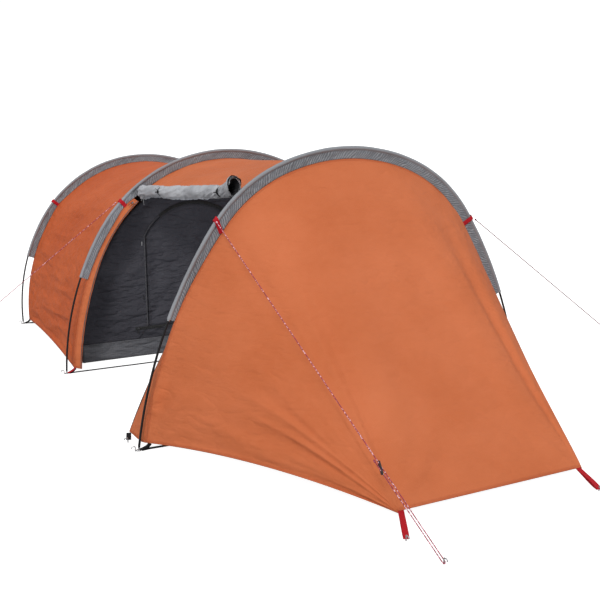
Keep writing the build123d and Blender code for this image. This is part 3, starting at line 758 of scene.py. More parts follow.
# The pale third colour serves the sleeve's threads and its painted highlights
SLEEVE_GREY = ruched("grey_ripstop", (0.128, 0.136, 0.152), (0.190, 0.200, 0.222),
                     (0.44, 0.455, 0.48), 0.46)
CHARCOAL = ripstop("inner_polyester", (0.039, 0.0382, 0.047), (0.060, 0.059, 0.070),
                   (0.080, 0.079, 0.090), 0.60, check=0.010, crinkle=0.0080)
FLOOR_GREY = ripstop("groundsheet", (0.100, 0.101, 0.113), (0.140, 0.141, 0.153),
                     (0.21, 0.21, 0.22), 0.5, check=0.012, crinkle=0.0060)
RED_WEB = webbing("red_webbing", (0.36, 0.004, 0.010), (0.60, 0.011, 0.024))
BLACK_WEB = webbing("black_webbing", (0.006, 0.006, 0.007), (0.018, 0.018, 0.020))
ELASTIC = webbing("black_elastic", (0.014, 0.014, 0.016), (0.05, 0.05, 0.055), 0.7, 0.0011)
STEEL = metal("zinc_steel", (0.42, 0.43, 0.45), (0.66, 0.67, 0.69), 0.34)
ZIP_METAL = metal("zip_metal", (0.10, 0.10, 0.105), (0.22, 0.22, 0.23), 0.38)
POLE = fibreglass("fibreglass_rod")
BLACK_PLASTIC = plastic("black_plastic", (0.014, 0.014, 0.015), (0.04, 0.04, 0.043), 0.42)
PALE_PLASTIC = plastic("pale_toggle", (0.26, 0.26, 0.27), (0.40, 0.40, 0.42), 0.45)
GUY = braid("guy_cord", (0.26, 0.005, 0.032), (0.46, 0.014, 0.068), (0.86, 0.52, 0.60),
            pitch=0.0068, fleck_share=0.45)
GUY_SHADE = braid("guy_cord_shaded", (0.10, 0.004, 0.014), (0.22, 0.010, 0.034), (0.62, 0.48, 0.52),
                  pitch=0.0085, fleck_share=0.34)
SHOCK = braid("shock_cord", (0.03, 0.03, 0.03), (0.12, 0.12, 0.12), (0.3, 0.3, 0.3))
ZIP_GREY = zip_tape("door_zip_tape", (0.09, 0.092, 0.10), (0.17, 0.172, 0.18))
ZIP_BLACK = zip_tape("inner_zip_tape", (0.003, 0.003, 0.0035), (0.010, 0.010, 0.011))
PALE_TAPE = zip_tape("loose_ties", (0.20, 0.20, 0.21), (0.32, 0.32, 0.33))
SEAM_TAPE = zip_tape("seam_tape", (0.052, 0.051, 0.058), (0.075, 0.074, 0.082))


# Outside and inside of each sheet
# The second fly pair has the darker orange: painted shade on the same cloth
FLY, FLY_SHADED, INNER = (ORANGE, ORANGE_BACK), (ORANGE_SHADED, ORANGE_BACK), (CHARCOAL, CHARCOAL)


# --- Guy ropes: the routes' points as in the CAD source ---

ROPE_R = 0.00175
ROPE_RUN_UP = 0.021
GUYS = {
    "front_left": dict(
        length=1.953,
        start=(-0.603794, -0.893056, 0.877625), turn=(-0.439476, -2.184117, 0.003212),
        back=(-0.449396, -2.185380, 0.003212), tail=(-0.489115, -1.873306, 0.214573)),
    "front_right": dict(
        length=1.670,
        start=(0.667363, -0.878133, 0.817705), turn=(1.588584, -1.251452, 0.002830),
        back=(1.584828, -1.260720, 0.002830), tail=(1.313188, -1.150640, 0.243112)),
    "middle_left": dict(
        length=1.733,
        start=(-0.635382, 0.428257, 0.855903), turn=(-1.593555, 0.841533, 0.002835),
        back=(-1.589594, 0.850715, 0.002835), tail=(-1.320161, 0.734504, 0.242714)),
}


def nurbs(name, points, material):
    """An open NURBS curve of order 3 with round bevel."""
    data = bpy.data.curves.new(name, "CURVE")
    data.dimensions = "3D"
    data.bevel_depth = ROPE_R
    data.bevel_resolution = 3
    data.resolution_u = 14
    data.use_fill_caps = True
    spline = data.splines.new("NURBS")
    spline.points.add(len(points) - 1)
    for point, place in zip(spline.points, points):
        point.co = (*place, 1.0)
    spline.order_u = 3
    spline.use_endpoint_u = True
    data.materials.append(material)
    curve = bpy.data.objects.new(name, data)
    scene.collection.objects.link(curve)
    return curve


KNOT_R, KNOT_TURNS, KNOT_LENGTH = 0.0022, 3, 0.008


def knot(name, place, along, cord):
    """A barrel knot: the cord wound round itself, with a short end."""
    along = unit(np.array(along))
    side = unit(np.cross(along, (0.0, 0.0, 1.0)))
    up = np.cross(along, side)
    t = np.linspace(0, 1, 24 * KNOT_TURNS)
    coil = KNOT_R * (1 - 0.35 * (2 * t - 1) ** 2)
    angle = 2 * math.pi * KNOT_TURNS * t
    path = (np.array(place) + along * column((t - 0.5) * KNOT_LENGTH)
            + side * column(coil * np.cos(angle)) + up * column(coil * np.sin(angle)))
    ring = [(ROPE_R * math.cos(a), ROPE_R * math.sin(a)) for a in np.linspace(0, 2 * math.pi, 9)[:-1]]
    return sweep(name, path, ring, np.cross(along, side), cord)


def make_guys():
    """Each rope runs from its tab, through the peg's hook and back to its tensioner."""
    for name, guy in GUYS.items():
        start, turn, back, tail = (Vector(guy[k]) for k in ("start", "turn", "back", "tail"))
        down = (turn - start).normalized()
        route = [start, turn - down * ROPE_RUN_UP, turn, back, back - down * ROPE_RUN_UP, tail]
        cord = GUY_SHADE if name == "front_right" else GUY
        rope = nurbs("guy_" + name, route, cord)
        knots = []
        for end, place, way in (("top", start, -down), ("tail", tail, -down)):
            piece = knot(f"knot_{name}_{end}", place + way * KNOT_LENGTH / 2, way, cord)
            stands_for = ("guy_knots",) if name == "front_left" and end == "top" else ()
            knots.append(finish_piece(piece, replaces=stands_for))
        finish_piece(rope, replaces=("guy_rope_" + name,))
        knots + [nodes["tensioner_" + name]]


make_guys()


# --- Flysheet ---

def soft_clip(q, power):
    """q, levelled off towards -1 and 1."""
    return q / (1 + np.abs(q) ** power) ** (1 / power)


def puckers(points, along, reach, wavelength, height, seed, ends=(True, True)):
    """Small gathers that run square off the seams at the two ends of an axis."""
    distance = lengths(points, along)
    across = lengths(points, 1 - along)
    total = distance.max(axis=along, keepdims=True)
    fade = sum(np.exp(-d / reach) for use, d in zip(ends, (distance, total - distance)) if use)
    shape = layered(across / wavelength, distance / (4 * reach), seed, 2)
    at_seam = np.minimum(distance, total - distance)
    return height * fade * shape * smooth(at_seam / 0.012)


# Depth, heading in degrees and spread of the hollows that run down the nose; the ridge is negative
NOSE_DIPS = ((0.020, 29, 8), (-0.012, 17.5, 6))
NOSE_FOOT = (0.90, -0.87)


def make_nose():
    """The nose: a ruled sheet from hoop 1 down to a short hem, with a belly, dips and folds."""
    hoop = HOOPS[1]
    foot = angle_at_height(hoop, FLY_INSET, HEM_Z)
    across = stations(2.65, 230)
    down = stations(1.2, 120)
    t = even_headings(hoop, FLY_INSET, -foot, foot, across)
    top = arch_points(hoop, seam_inset(hoop, t), t, seam_gap(hoop, t))
    share = soft_clip(t / math.radians(21.0), 5)
    low_edge = smooth((np.abs(t) - 0.85 * foot) / (0.15 * foot))
    hem = np.stack([NOSE_HALF * share, np.full_like(t, NOSE_HEM_Y), HEM_Z - 0.006 * low_edge], -1)
    v = down[None, :, None]
    points = blend(top[:, None], hem[:, None], v)
    w = down[None, :]
    off_top = column(np.abs(t))
    side = smooth((off_top - 0.55 * foot) / (0.45 * foot))
    points[..., 2] += 0.036 * 4 * w * (1 - w) * side ** 2
    points[..., 2] += 0.004 * smooth((w - 0.8) / 0.2) * (1 - side)
    normal = normals_of(points, (0, -1.0, 0.2))
    belly = -0.010 * np.sin(math.pi * w) * (1 - 0.4 * side)
    turn = np.degrees(np.abs(t))
    dip = 0.0
    for depth, heading, spread in NOSE_DIPS:
        dip = dip + depth * np.exp(-((turn - heading) / spread) ** 2)
    dip = dip * np.where(t > 0, 1.0, 0.6)
    belly = belly - column(dip) * np.sin(math.pi * w) ** 0.8
    folds = belly + puckers(points, 1, 0.05, 0.045, 0.0026, 11, (True, False))
    long_pull = 0.0042 * layered(off_top * 8.0, w * 1.3, 21, 2)
    folds = folds + long_pull * np.sin(math.pi * w)
    inside = smooth(column(from_ends(across)) / 0.012) * smooth((1 - w) / 0.02)
    lower = smooth((off_top - 0.66 * foot) / (0.26 * foot))
    for sign, seed in ((-1, 31), (1, 37)):
        half = column(smooth(sign * t / math.radians(14)))
        ridges = 1 - 2 * np.abs(noise(off_top * 15.0 + w * 1.1, w * 1.7, seed))
        fine = noise(off_top * 31.0 - w * 2.0, w * 3.0, seed + 1)
        reach = np.exp(-((w - 0.60) / 0.34) ** 2)
        fan = (0.0082 * ridges + 0.0040 * fine) * lower * reach
        beside = smooth((off_top - 0.35 * foot) / (0.3 * foot))
        near_pole = np.exp(-(w / 0.13) ** 2) * smooth(w / 0.02)
        ripples = noise(w * 21.0 + column(t) * 0.8, column(t) * 2.2, seed + 3)
        fan = fan + 0.0050 * ripples * near_pole * beside
        foot_place = (sign * NOSE_FOOT[0], NOSE_FOOT[1], HEM_Z)
        fan = fan + radial_folds(points, foot_place, 0.32, 6.0, 0.0150, seed + 4, (1, 2))
        folds = folds + fan * half
        corner = (sign * NOSE_HALF, NOSE_HEM_Y, HEM_Z)
        front = smooth(1 - side / 0.35)
        near = radial_folds(points, corner, 0.36, 5.0, 0.0085, seed + 6, (0, 2))
        folds = folds + near * front * half
    points = points + normal * (folds * inside)[..., None]
    nose = cloth_piece("nose_panel", points, (0, -1.0, 0.2), FLY, "orange_fly", "fly_nose")


HEM_RISE = 0.022


def make_bay(name, first, second, starts, sag, seed, node, flat, wrinkled):
    """A fly bay between two hoops: a saddle with gathers at its seams and long pulls. The
    wrinkled one also has short creases low down on both sides."""
    count = 380 if wrinkled else 240
    across = stations(flat[0], count)
    down = stations(flat[1], 100)
    rails = []
    for hoop, t0, ahead in ((first, starts[0], -1), (second, starts[1], 1)):
        foot = angle_at_height(hoop, FLY_INSET, HEM_Z)
        low = -foot if t0 is None else -math.radians(t0)
        t = even_headings(hoop, FLY_INSET, low, foot, across)
        rails.append(arch_points(hoop, seam_inset(hoop, t), t, ahead * seam_gap(hoop, t)))
    w = down[None, :]
    points = blend(rails[0][:, None], rails[1][:, None], w[..., None])
    bend = 4 * w * (1 - w)
    free_hem = 0.0 if starts[0] is not None else column(smooth(1 - across / 0.10)) ** 2
    points[..., 2] += HEM_RISE * bend * (free_hem + column(smooth(1 - (1 - across) / 0.10)) ** 2)
    away = (0, (first["y"] + second["y"]) / 2, 0.25)
    normal = normals_of(points, away)
    round_top = 0.55 + 0.45 * np.sin(math.pi * across)[:, None]
    folds = -sag * bend * round_top
    folds = folds + puckers(points, 1, 0.060, 0.040, 0.0045, seed)
    pull = layered(across[:, None] * 26.0, w * 1.2, seed + 3, 3)
    slant = layered(across[:, None] * 17.0 + w * 3.0, w * 1.6, seed + 5, 2)
    ridge = 1 - 2 * np.abs(noise(across[:, None] * 19.0 + w * 0.7, w * 1.4, seed + 9))
    folds = folds + (0.0055 * pull + 0.0045 * slant + 0.0040 * ridge) * np.sin(math.pi * w)
    for hoop in (first, second):
        place = (hoop["half_width"] - 0.05, hoop["y"], HEM_Z)
        folds = folds + paired_folds(points, place, 0.34, 0.010, (seed + 7, seed + 7), (1, 2))
    if wrinkled:
        low_side = smooth((np.abs(across - 0.5) - 0.16) / 0.2)[:, None]
        wrinkle = 1 - 2 * np.abs(noise(across[:, None] * 46.0 + 1.6 * w, w * 3.4, seed + 15))
        small = noise(across[:, None] * 84.0 - 1.5 * w, w * 4.6, seed + 17)
        folds = folds + (0.0085 * wrinkle + 0.0045 * small) * low_side * smooth(from_ends(w) / 0.15)
    at_edges = smooth(column(from_ends(across)) / 0.01)
    at_rails = smooth(from_ends(w) / 0.012)
    points = points + normal * (folds * at_edges * at_rails)[..., None]
    # The wrinkled rear bay is given the darker orange: painted shade, not another cloth
    piece = cloth_piece(name, points, away, FLY_SHADED if wrinkled else FLY, "orange_fly", node)


def make_rear_wall():
    """Sloping wall from hoop 3 down to a straight hem."""
    hoop = HOOPS[3]
    foot = angle_at_height(hoop, FLY_INSET, HEM_Z)
    across = stations(2.45, 200)
    down = stations(0.95, 70)
    t = even_headings(hoop, FLY_INSET, -foot, foot, across)
    top = arch_points(hoop, seam_inset(hoop, t), t, -SEAM_GAP)
    x = REAR_HALF * (2 * across - 1)
    hem = np.stack([x, np.full_like(x, REAR_HEM_Y), np.full_like(x, HEM_Z - 0.010)], -1)
    w = down[None, :]
    points = blend(top[:, None], hem[:, None], w[..., None])
    normal = normals_of(points, (0, 1.2, 0.4))
    folds = puckers(points, 1, 0.06, 0.05, 0.003, 71, (True, False))
    folds = folds + 0.012 * np.sin(math.pi * w) * np.sin(math.pi * across)[:, None]
    folds = folds + 0.005 * layered(across[:, None] * 14.0, w * 1.3, 73, 3) * np.sin(math.pi * w)
    folds = folds + paired_folds(points, (REAR_HALF, REAR_HEM_Y, HEM_Z), 0.45, 0.010, (76, 78), (0, 2))
    edges = smooth(column(from_ends(across)) / 0.01)
    points = points + normal * (folds * edges * smooth(from_ends(w) / 0.02))[..., None]
    # The rear wall is given the darker orange: painted shade
    wall = cloth_piece("rear_wall", points, (0, 1.2, 0.4), FLY_SHADED, "orange_fly", "fly_rear_wall")


FREE_DIP = 0.012
FLARE_TOP_Z, FLARE_POWER, FLARE_WIDTH, FLARE_OUT = 0.46, 1.15, 0.144, 0.035
REAR_STRIP_WIDTH, FRONT_STRIP_WIDTH = 0.038, 0.026


def free_dip(t):
    """How far the free edge beside hoop 2 dips into the tent, more so near the ground."""
    return FREE_DIP + FREE_DIP * smooth((np.abs(t) - 1.05) / 0.25)


def flare(z):
    """Spread of the strip behind hoop 1: 0 down to its zip's end, 1 at the ground."""
    return np.clip((FLARE_TOP_Z - z) / (FLARE_TOP_Z - HEM_Z), 0, 1) ** FLARE_POWER


def make_door_strips():
    """The strips that the side door zips to: straight beside hoop 2, flared behind hoop 1."""
    hoop = HOOPS[2]
    foot = angle_at_height(hoop, FLY_INSET, HEM_Z)
    top = math.radians(STRIP_TOP[2])
    down = stations(0.97, 110)
    over = np.array([0.0, 0.004, 0.010, 0.017, 0.024, 0.0305, 0.034, 0.038]) / REAR_STRIP_WIDTH
    t = even_headings(hoop, FLY_INSET, -top, -foot, down)
    inset = seam_inset(hoop, t)[:, None]
    free = FLY_INSET + column(free_dip(t))
    inset = inset + (free - inset) * over[None]
    reach = blend(column(seam_gap(hoop, t)), REAR_STRIP_WIDTH, over)
    points = arch_points(hoop, inset, np.repeat(t[:, None], len(over), 1), reach)
    wobble = 0.0014 * layered(column(down) * 22.0, over[None] * 0.8, 91, 2) * over[None]
    points = points + normals_of(points, (0, 0.3, 0.3)) * wobble[..., None]
    strip = cloth_piece("door_strip_rear", points, (0, 0.3, 0.3), FLY, "orange_fly",
                        "fly_door_strip_rear", hem=0.0)

    hoop = HOOPS[1]
    foot = angle_at_height(hoop, FLY_INSET, HEM_Z)
    top = math.radians(STRIP_TOP[1])
    over = np.linspace(0, 1, 20)
    t = even_headings(hoop, FLY_INSET, -top, -foot, down)
    inset = seam_inset(hoop, t)[:, None]
    inset = inset + (FLY_INSET - inset) * over[None]
    gap = seam_gap(hoop, t)[:, None] * np.ones(len(over))
    points = arch_points(hoop, inset, np.repeat(t[:, None], len(over), 1), -gap)
    low = column(flare(points[:, 0, 2]))
    points[..., 1] += (FRONT_STRIP_WIDTH + FLARE_WIDTH * low - SEAM_GAP) * over[None]
    points[..., 0] += -FLARE_OUT * low * over[None]
    slack = 0.006 * layered(over[None] * 1.5, column(down) * 7.0, 95, 2) * low
    slack = slack + 0.010 * np.sin(math.pi * over)[None] * low
    points[..., 0] -= slack * smooth(over / 0.1)[None]
    strip = cloth_piece("door_strip_front", points, (0, -0.8, 0.3), FLY, "orange_fly",
                        "fly_door_strip_front", hem=0.009)


# --- Pole sleeves ---

FIN_TOP, FIN_FOOT = 0.0110, 0.0442


def make_sleeve(number, seed):
    """A tunnel round the pole and a wrinkled fin down to the fly, as one closed piece."""
    hoop = HOOPS[number]
    ends = [angle_at_height(hoop, 0.0, z) for z in SLEEVE_END_Z[number]]
    t = even_headings(hoop, 0.0, -ends[0], ends[1], stations(2.1, 330, (0.003, 0.010, 0.0115)))
    x, v = arch(hoop, 0.0, t)
    run = np.concatenate([[0], np.cumsum(np.hypot(np.diff(x), np.diff(v)))])
    centre = on_hoop(hoop, x, v)
    inward = -outward_at(hoop, t)
    ahead = ahead_of(hoop)
    root = math.radians(20)
    around = np.linspace(root, 2 * math.pi - root, 15)
    depth = np.array([FIN_FOOT, 0.0405, 0.0365, 0.032, 0.0275, 0.023, 0.0185, 0.0140, FIN_TOP])
    size = 0.0080 + 0.0006 * noise(run[:, None] / 0.05, around[None] * 1.2, seed)
    ring_in = size * np.cos(around)[None]
    ring_out = size * np.sin(around)[None]
    share = (depth - FIN_TOP) / (FIN_FOOT - FIN_TOP)
    lowest = (seam_inset(hoop, t) - 0.0008)[:, None]
    depth = FIN_TOP + (lowest - FIN_TOP) * share[None]
    fan = np.clip(share, 0, 1)[None]
    window = np.sin(math.pi * fan ** 0.8) ** 0.8
    slant = run[:, None] / 0.042 + 34.0 * depth
    crease = 1 - np.abs(noise(slant, run[:, None] / 0.25, seed + 1)) * 2
    cross = 1 - np.abs(noise(run[:, None] / 0.055 - 26.0 * depth, run[:, None] / 0.3, seed + 2)) * 2
    bend = (0.0026 * crease + 0.0018 * cross - 0.001) * window
    half = 0.0010
    n, m, k = len(t), len(around), depth.shape[1]
    ins = np.concatenate([depth, ring_in, depth[:, ::-1]], axis=1)
    out = np.concatenate([bend + half, ring_out, (bend - half)[:, ::-1]], axis=1)
    outer = centre[:, None] + inward[:, None] * ins[..., None] + ahead * out[..., None]
    bore_in = 0.0065 * np.cos(around)
    bore_out = 0.0065 * np.sin(around)
    bore = (centre[:, None] + inward[:, None] * bore_in[None, :, None]
            + ahead * bore_out[None, :, None])
    total = 2 * k + m
    offset = n * total
    faces = quads_of(np.arange(offset).reshape(n, total), True).tolist()
    faces += quads_of(offset + np.arange(n * m).reshape(n, m), True)[:, ::-1].tolist()
    for i, way in ((0, 1), (n - 1, -1)):
        a, b = i * total, offset + i * m
        cap = [(a + j, a + j + 1, a + total - 2 - j, a + total - 1 - j) for j in range(k - 1)]
        cap.append((a + k - 1, a + k, a + k + m - 1, a + k + m))
        cap += [(a + k + j, a + k + j + 1, b + j + 1, b + j) for j in range(m - 1)]
        cap.append((a + k + m - 1, a + k, b, b + m - 1))
        faces += [c[::way] for c in cap]
    points = np.concatenate([outer.reshape(-1, 3), bore.reshape(-1, 3)])
    flat = np.stack([ins, np.broadcast_to(run[:, None], (n, total))], -1).reshape(-1, 2)
    flat_bore = np.stack([np.broadcast_to(around * 0.007, (n, m)),
                          np.broadcast_to(run[:, None], (n, m))], -1).reshape(-1, 2)
    seam = lowest - np.minimum(ins, lowest)
    ends = np.minimum(run, run[-1] - run)
    side = np.minimum(seam, ends[:, None])
    along = np.where(seam < ends[:, None], run[:, None], ins)
    edge = np.stack([side, along], -1).reshape(-1, 2)
    edge_bore = np.stack([np.full((n, m), 0.03), np.broadcast_to(run[:, None], (n, m))], -1)
    maps = {"cloth": np.concatenate([flat, flat_bore]),
            "edge": np.concatenate([edge, edge_bore.reshape(-1, 2)])}
    sleeve = mesh_object(f"sleeve_band_{number}", points, faces, maps, None, (SLEEVE_GREY,))
    finish_piece(sleeve, replaces=(f"sleeve_{number}",))


# --- Rolled side door, its ties and zips ---

TOGGLE_SHARES = {"front": 0.20, "rear": 0.78}
ROLL_TURNS = 7
ROLL_CORE = 0.014
ROLL_OUTER = ROLL_R - 0.0012
CUFF = 0.085
SPIRAL_STEPS = 40


def roll_frame():
    """Ends of the roll's line, its direction, the way out of the tent and the way up."""
    ends = [arch_points(HOOPS[1], FLY_INSET, -math.radians(ROLL_ANGLE[1]), -0.055),
            arch_points(HOOPS[2], FLY_INSET, -math.radians(ROLL_ANGLE[2]), 0.045)]
    axis = unit(ends[1] - ends[0])
    out = np.array([-1.0, 0.0, 0.25])
    out = unit(out - axis * (out @ axis))
    return ends, axis, out, np.cross(axis, out)


def roll_size(share, length):
    """Outer radius along the roll: pinched at the ties, opening into a cuff in front."""
    size = 0.97 + 0.05 * np.sin(share * 17.0 + 0.6) * np.sin(share * 7.0)
    for at in TOGGLE_SHARES.values():
        size = size - 0.30 * np.exp(-((share - at) * length / 0.022) ** 2)
    size = size + 0.24 * np.exp(-(np.maximum(share - CUFF, 0) * length / 0.050) ** 1.6)
    size = size + 0.20 * np.exp(-((1 - share) * length / 0.040) ** 1.5)
    return size


def roll_lift(share, length):
    """How far the roll's centre rises off its straight line, out from the roof."""
    lift = 0.0085 + 0.003 * np.sin(share * 9.0)
    lift = lift + 0.021 * np.exp(-(np.maximum(share - CUFF, 0) * length / 0.075) ** 2)
    return lift - 0.004 * np.exp(-((1 - share) * length / 0.05) ** 2)


def make_roll():
    """The door rolled up as a spiral, with its flap to the roof, two bands and two loose ends."""
    (front, rear), axis, out, up = roll_frame()
    length = np.linalg.norm(rear - front)
    share = stations(length, 130, (0.003, 0.010, 0.0112))
    share = CUFF + share * 0.915
    size = roll_size(share, length)
    lift = roll_lift(share, length)
    edges = [arch_points(HOOPS[1], FLY_INSET + 0.002, -math.radians(DOOR_EDGE[1]), -0.055),
             arch_points(HOOPS[2], FLY_INSET + 0.002, -math.radians(DOOR_EDGE[2]), 0.045)]
    rise = unit(np.array([-0.35, 0.0, 1.0]))
    rows = []
    for s, scale, high in zip(share, size, lift):
        centre = front + (rear - front) * s + rise * high
        edge = edges[0] + (edges[1] - edges[0]) * s
        to_edge = edge - centre
        a, b = to_edge @ out, to_edge @ up
        leave = math.atan2(b, a) + math.acos(min(0.98, ROLL_OUTER * scale / math.hypot(a, b)))
        turn = np.linspace(0, 2 * math.pi * ROLL_TURNS, SPIRAL_STEPS * ROLL_TURNS)
        angle = leave + (turn[-1] - turn)
        wrap = turn / turn[-1]
        opening = math.exp(-((s - CUFF) * length / 0.055) ** 2)
        core = ROLL_CORE + 0.012 * opening
        radius = (core + (ROLL_OUTER - core) * wrap ** (1.0 + 0.5 * opening)) * scale
        ease = smooth(wrap * 3)
        lump = layered(angle * 0.9 + 3.0, s * 13.0, 41, 2) * 0.0030
        crease = (1 - 2 * np.abs(noise(angle * 1.4 + s * 9, s * 22.0, 43))) * 0.0030
        gather = sum(math.exp(-((s - at) * length / 0.045) ** 2) for at in TOGGLE_SHARES.values())
        gather = gather + math.exp(-((1 - s) * length / 0.05) ** 2)
        tied = max(math.exp(-((s - at) * length / 0.012) ** 4) for at in TOGGLE_SHARES.values())
        pleat = np.sin(angle * 8 + 2 * noise(angle * 1.3, s * 30, 47)) * 0.0036 * gather
        ease = ease * smooth((1 - wrap) * ROLL_TURNS * 4 + 0.15)
        radius = radius + (1.2 * lump + 1.5 * crease + pleat) * (1 - 0.85 * tied) * ease
        radius = radius * (1 + 0.16 * opening * np.cos(2 * (angle - 1.2)))
        shift = 0.004 * math.sin(9 * s + 1.0) - 0.016 * opening * np.cos(angle - 0.8)
        ring = (centre + axis * (shift * wrap)[:, None]
                + out * column(radius * np.cos(angle))
                + up * column(radius * np.sin(angle)))
        flap = ring[-1] + (edge - ring[-1]) * smooth(np.linspace(0, 1, 9))[1:, None]
        rows.append(np.concatenate([ring, flap]))
    points = np.array(rows)
    normal = unit(np.cross(np.gradient(points, axis=0), np.gradient(points, axis=1)))
    outward = points - (front + (rear - front) * share[:, None])[:, None]
    sign = np.sign(np.sum(normal[:, 20:-10] * outward[:, 20:-10]))
    inner_side = points[0, 0] - normal[0, 0] * sign
    # The roll's inner turns are given the near-black material: painted shade inside the roll
    roll = cloth_piece("rolled_door_cloth", points, inner_side, (DOOR_GREY, DOOR_PAINTED_SHADE), "orange_fly",
                       "rolled_door", hem=0.010, thick=0.0007, fold=0.0005)
    rim = points[0, -9 - SPIRAL_STEPS:-9] + axis * 0.0004
    bands = [sweep("cuff_binding", rim, rounded_section(0.0065, 0.0020), axis, BLACK_WEB, True)]
    for name, at in TOGGLE_SHARES.items():
        centre = front + (rear - front) * at + rise * roll_lift(at, length)
        a = np.linspace(0, 2 * math.pi, 49)[:-1]
        r = ROLL_R * roll_size(at, length) + 0.0020 + 0.0005 * np.sin(3 * a)
        toggle = front + (rear - front) * at + out * (ROLL_R + 0.0052)
        to_toggle = toggle - centre
        facing = math.atan2(to_toggle @ up, to_toggle @ out)
        room = max(0.0, float(np.linalg.norm(to_toggle)) - 0.0060 - r[0])
        r = r + room * np.exp(-(np.sin((a - facing) / 2) / 0.22) ** 2)
        path = centre + out * column(r * np.cos(a)) + up * column(r * np.sin(a))
        bands.append(sweep(f"band_{name}", path, rounded_section(0.015, 0.0022), axis, BLACK_WEB, True))
    ties = join("roll_tie_bands", bands)
    finish_piece(ties, replaces=("roll_ties",))
    strands = []
    for k, (dx, dz, dy) in enumerate(((0.004, -0.062, -0.004), (-0.003, -0.040, 0.006))):
        top = rear - axis * 0.045 + out * (0.030 - 0.004 * k) - up * 0.004
        path = [top, top + (dx, dy, dz * 0.45), top + (dx * 1.5, dy * 2, dz)]
        strands.append(strap(f"strand_{k}", path, 0.005, 0.0012, axis, PALE_TAPE))
    loose = join("roll_tie_ends", strands)
    finish_piece(loose)


def ribbon_grid(name, path, across, width, material, away=(0, 0, 0.3)):
    """A narrow cloth ribbon: across is its width direction at each point of the path."""
    steps = np.linspace(-0.5, 0.5, 5) * width
    points = path[:, None] + across[:, None] * steps[None, :, None]
    return cloth(name, points, away, material, material, hem=0.0, thick=0.0009, fold=0.0)


TOOTH_PITCH, TOOTH_WIDTH = 0.0022, 0.0042


def teeth(name, path, across, up, material, height=0.0011):
    """The coil of a zip: a row of small rounded loops across the path."""
    path = np.asarray(path)
    length = travelled(path)
    count = int(length[-1] / TOOTH_PITCH)
    s = (np.arange(count) + 0.5) * length[-1] / count
    at, side, lift = (follow(s, length, line) for line in (path, across, up))
    side, lift = unit(side), unit(lift)
    along = np.cross(side, lift)
    shape = [(-0.5, 0.0), (-0.42, 0.8), (-0.15, 1.0), (0.15, 1.0), (0.42, 0.8), (0.5, 0.0)]
    points, faces = [], []
    m = len(shape)
    for i in range(count):
        lean = 0.25 * TOOTH_PITCH * (1 if i % 2 else -1)
        for end in (-0.34 * TOOTH_PITCH, 0.34 * TOOTH_PITCH):
            for a, h in shape:
                points.append(at[i] + side[i] * (a * TOOTH_WIDTH) + lift[i] * (h * height)
                              + along[i] * (end + lean * a))
        ends = 2 * m * i + np.arange(2 * m).reshape(2, m)
        faces += quads_of(ends, True)[:, [0, 3, 2, 1]].tolist()
        faces += [ends[0, ::-1].tolist(), ends[1].tolist()]
    flat = np.zeros((len(points), 2))
    return mesh_object(name, points, faces, {"cloth": flat}, None, (material,))


def make_door_zips():
    """Zip tape and coil on the outside of both door strips."""
    spans = {
        "rear": (HOOPS[2], STRIP_TOP[2], None, 0.034),
        "front": (HOOPS[1], STRIP_TOP[1], 0.450, -0.022),
    }
    for name, (hoop, start, stop_z, ahead) in spans.items():
        foot = angle_at_height(hoop, FLY_INSET, stop_z or HEM_Z)
        t = even_headings(hoop, FLY_INSET, -math.radians(start), -foot, np.linspace(0, 1, 120))
        forward = ahead_of(hoop)
        inset = FLY_INSET - 0.0016
        if name == "rear":
            inset = inset + 0.9 * free_dip(t)
        path = arch_points(hoop, inset, t) + forward * ahead
        across = np.broadcast_to(forward, path.shape)
        outward = outward_at(hoop, t)
        tape = ribbon_grid(f"door_zip_tape_{name}", path, across, 0.010, ZIP_GREY)
        finish_piece(tape, replaces=("door_zip_" + name,))
        coil = teeth(f"door_zip_coil_{name}", path + outward * 0.0004, across, outward, ZIP_GREY)
        finish_piece(coil)
        if stop_z:
            flare_binding(hoop, foot)


def flare_binding(hoop, first):
    """Grey binding down the free edge of the flared strip behind hoop 1."""
    foot = angle_at_height(hoop, FLY_INSET, HEM_Z)
    t = even_headings(hoop, FLY_INSET, -first, -foot, np.linspace(0, 1, 50))
    base = arch_points(hoop, FLY_INSET, t, -SEAM_GAP)
    low = flare(base[:, 2])
    base[:, 1] += FRONT_STRIP_WIDTH + FLARE_WIDTH * low - 0.005 - SEAM_GAP
    base[:, 0] -= FLARE_OUT * low * 0.97 + 0.0012
    across = np.broadcast_to(np.array([0.0, 1.0, 0.0]), base.shape)
    edge = ribbon_grid("door_strip_binding", base, across, 0.007, ZIP_BLACK)
    finish_piece(edge)


# --- Inner tent ---

INNER_FRONT = dict(HOOPS[2], y=INNER_FRONT_Y, lean=0.0)
INNER_REAR = dict(HOOPS[3], y=INNER_REAR_Y)
TOGGLE_Z = (0.625, 0.330)
WALL_FACE_Y = INNER_FRONT_Y + 0.0008
ZIP_FACE_Y = INNER_FRONT_Y - 0.0012
HINGE_TAPE_X_OFF = 0.011
HINGE_X, FREE_X, DOOR_LOW, DOOR_TOP, DOOR_ARCH = -0.445, 0.105, 0.168, 0.826, 0.310


def door_height(x, grow=0.0):
    middle = (HINGE_X + FREE_X) / 2
    radius = DOOR_ARCH + grow
    return DOOR_TOP - DOOR_ARCH + np.sqrt(np.maximum(radius ** 2 - (x - middle) ** 2, 0))


def door_loop(grow, count):
    """Points round the door's outline, evenly spaced, from its low hinge corner, as (x, z)."""
    left, right, low = HINGE_X - grow, FREE_X + grow, DOOR_LOW - grow
    x = np.linspace(right, left, 60)
    outline = np.concatenate([[(left, low), (right, low)],
                              np.stack([x, door_height(x, grow)], -1), [(left, low)]])
    return even_points(outline, count, False)


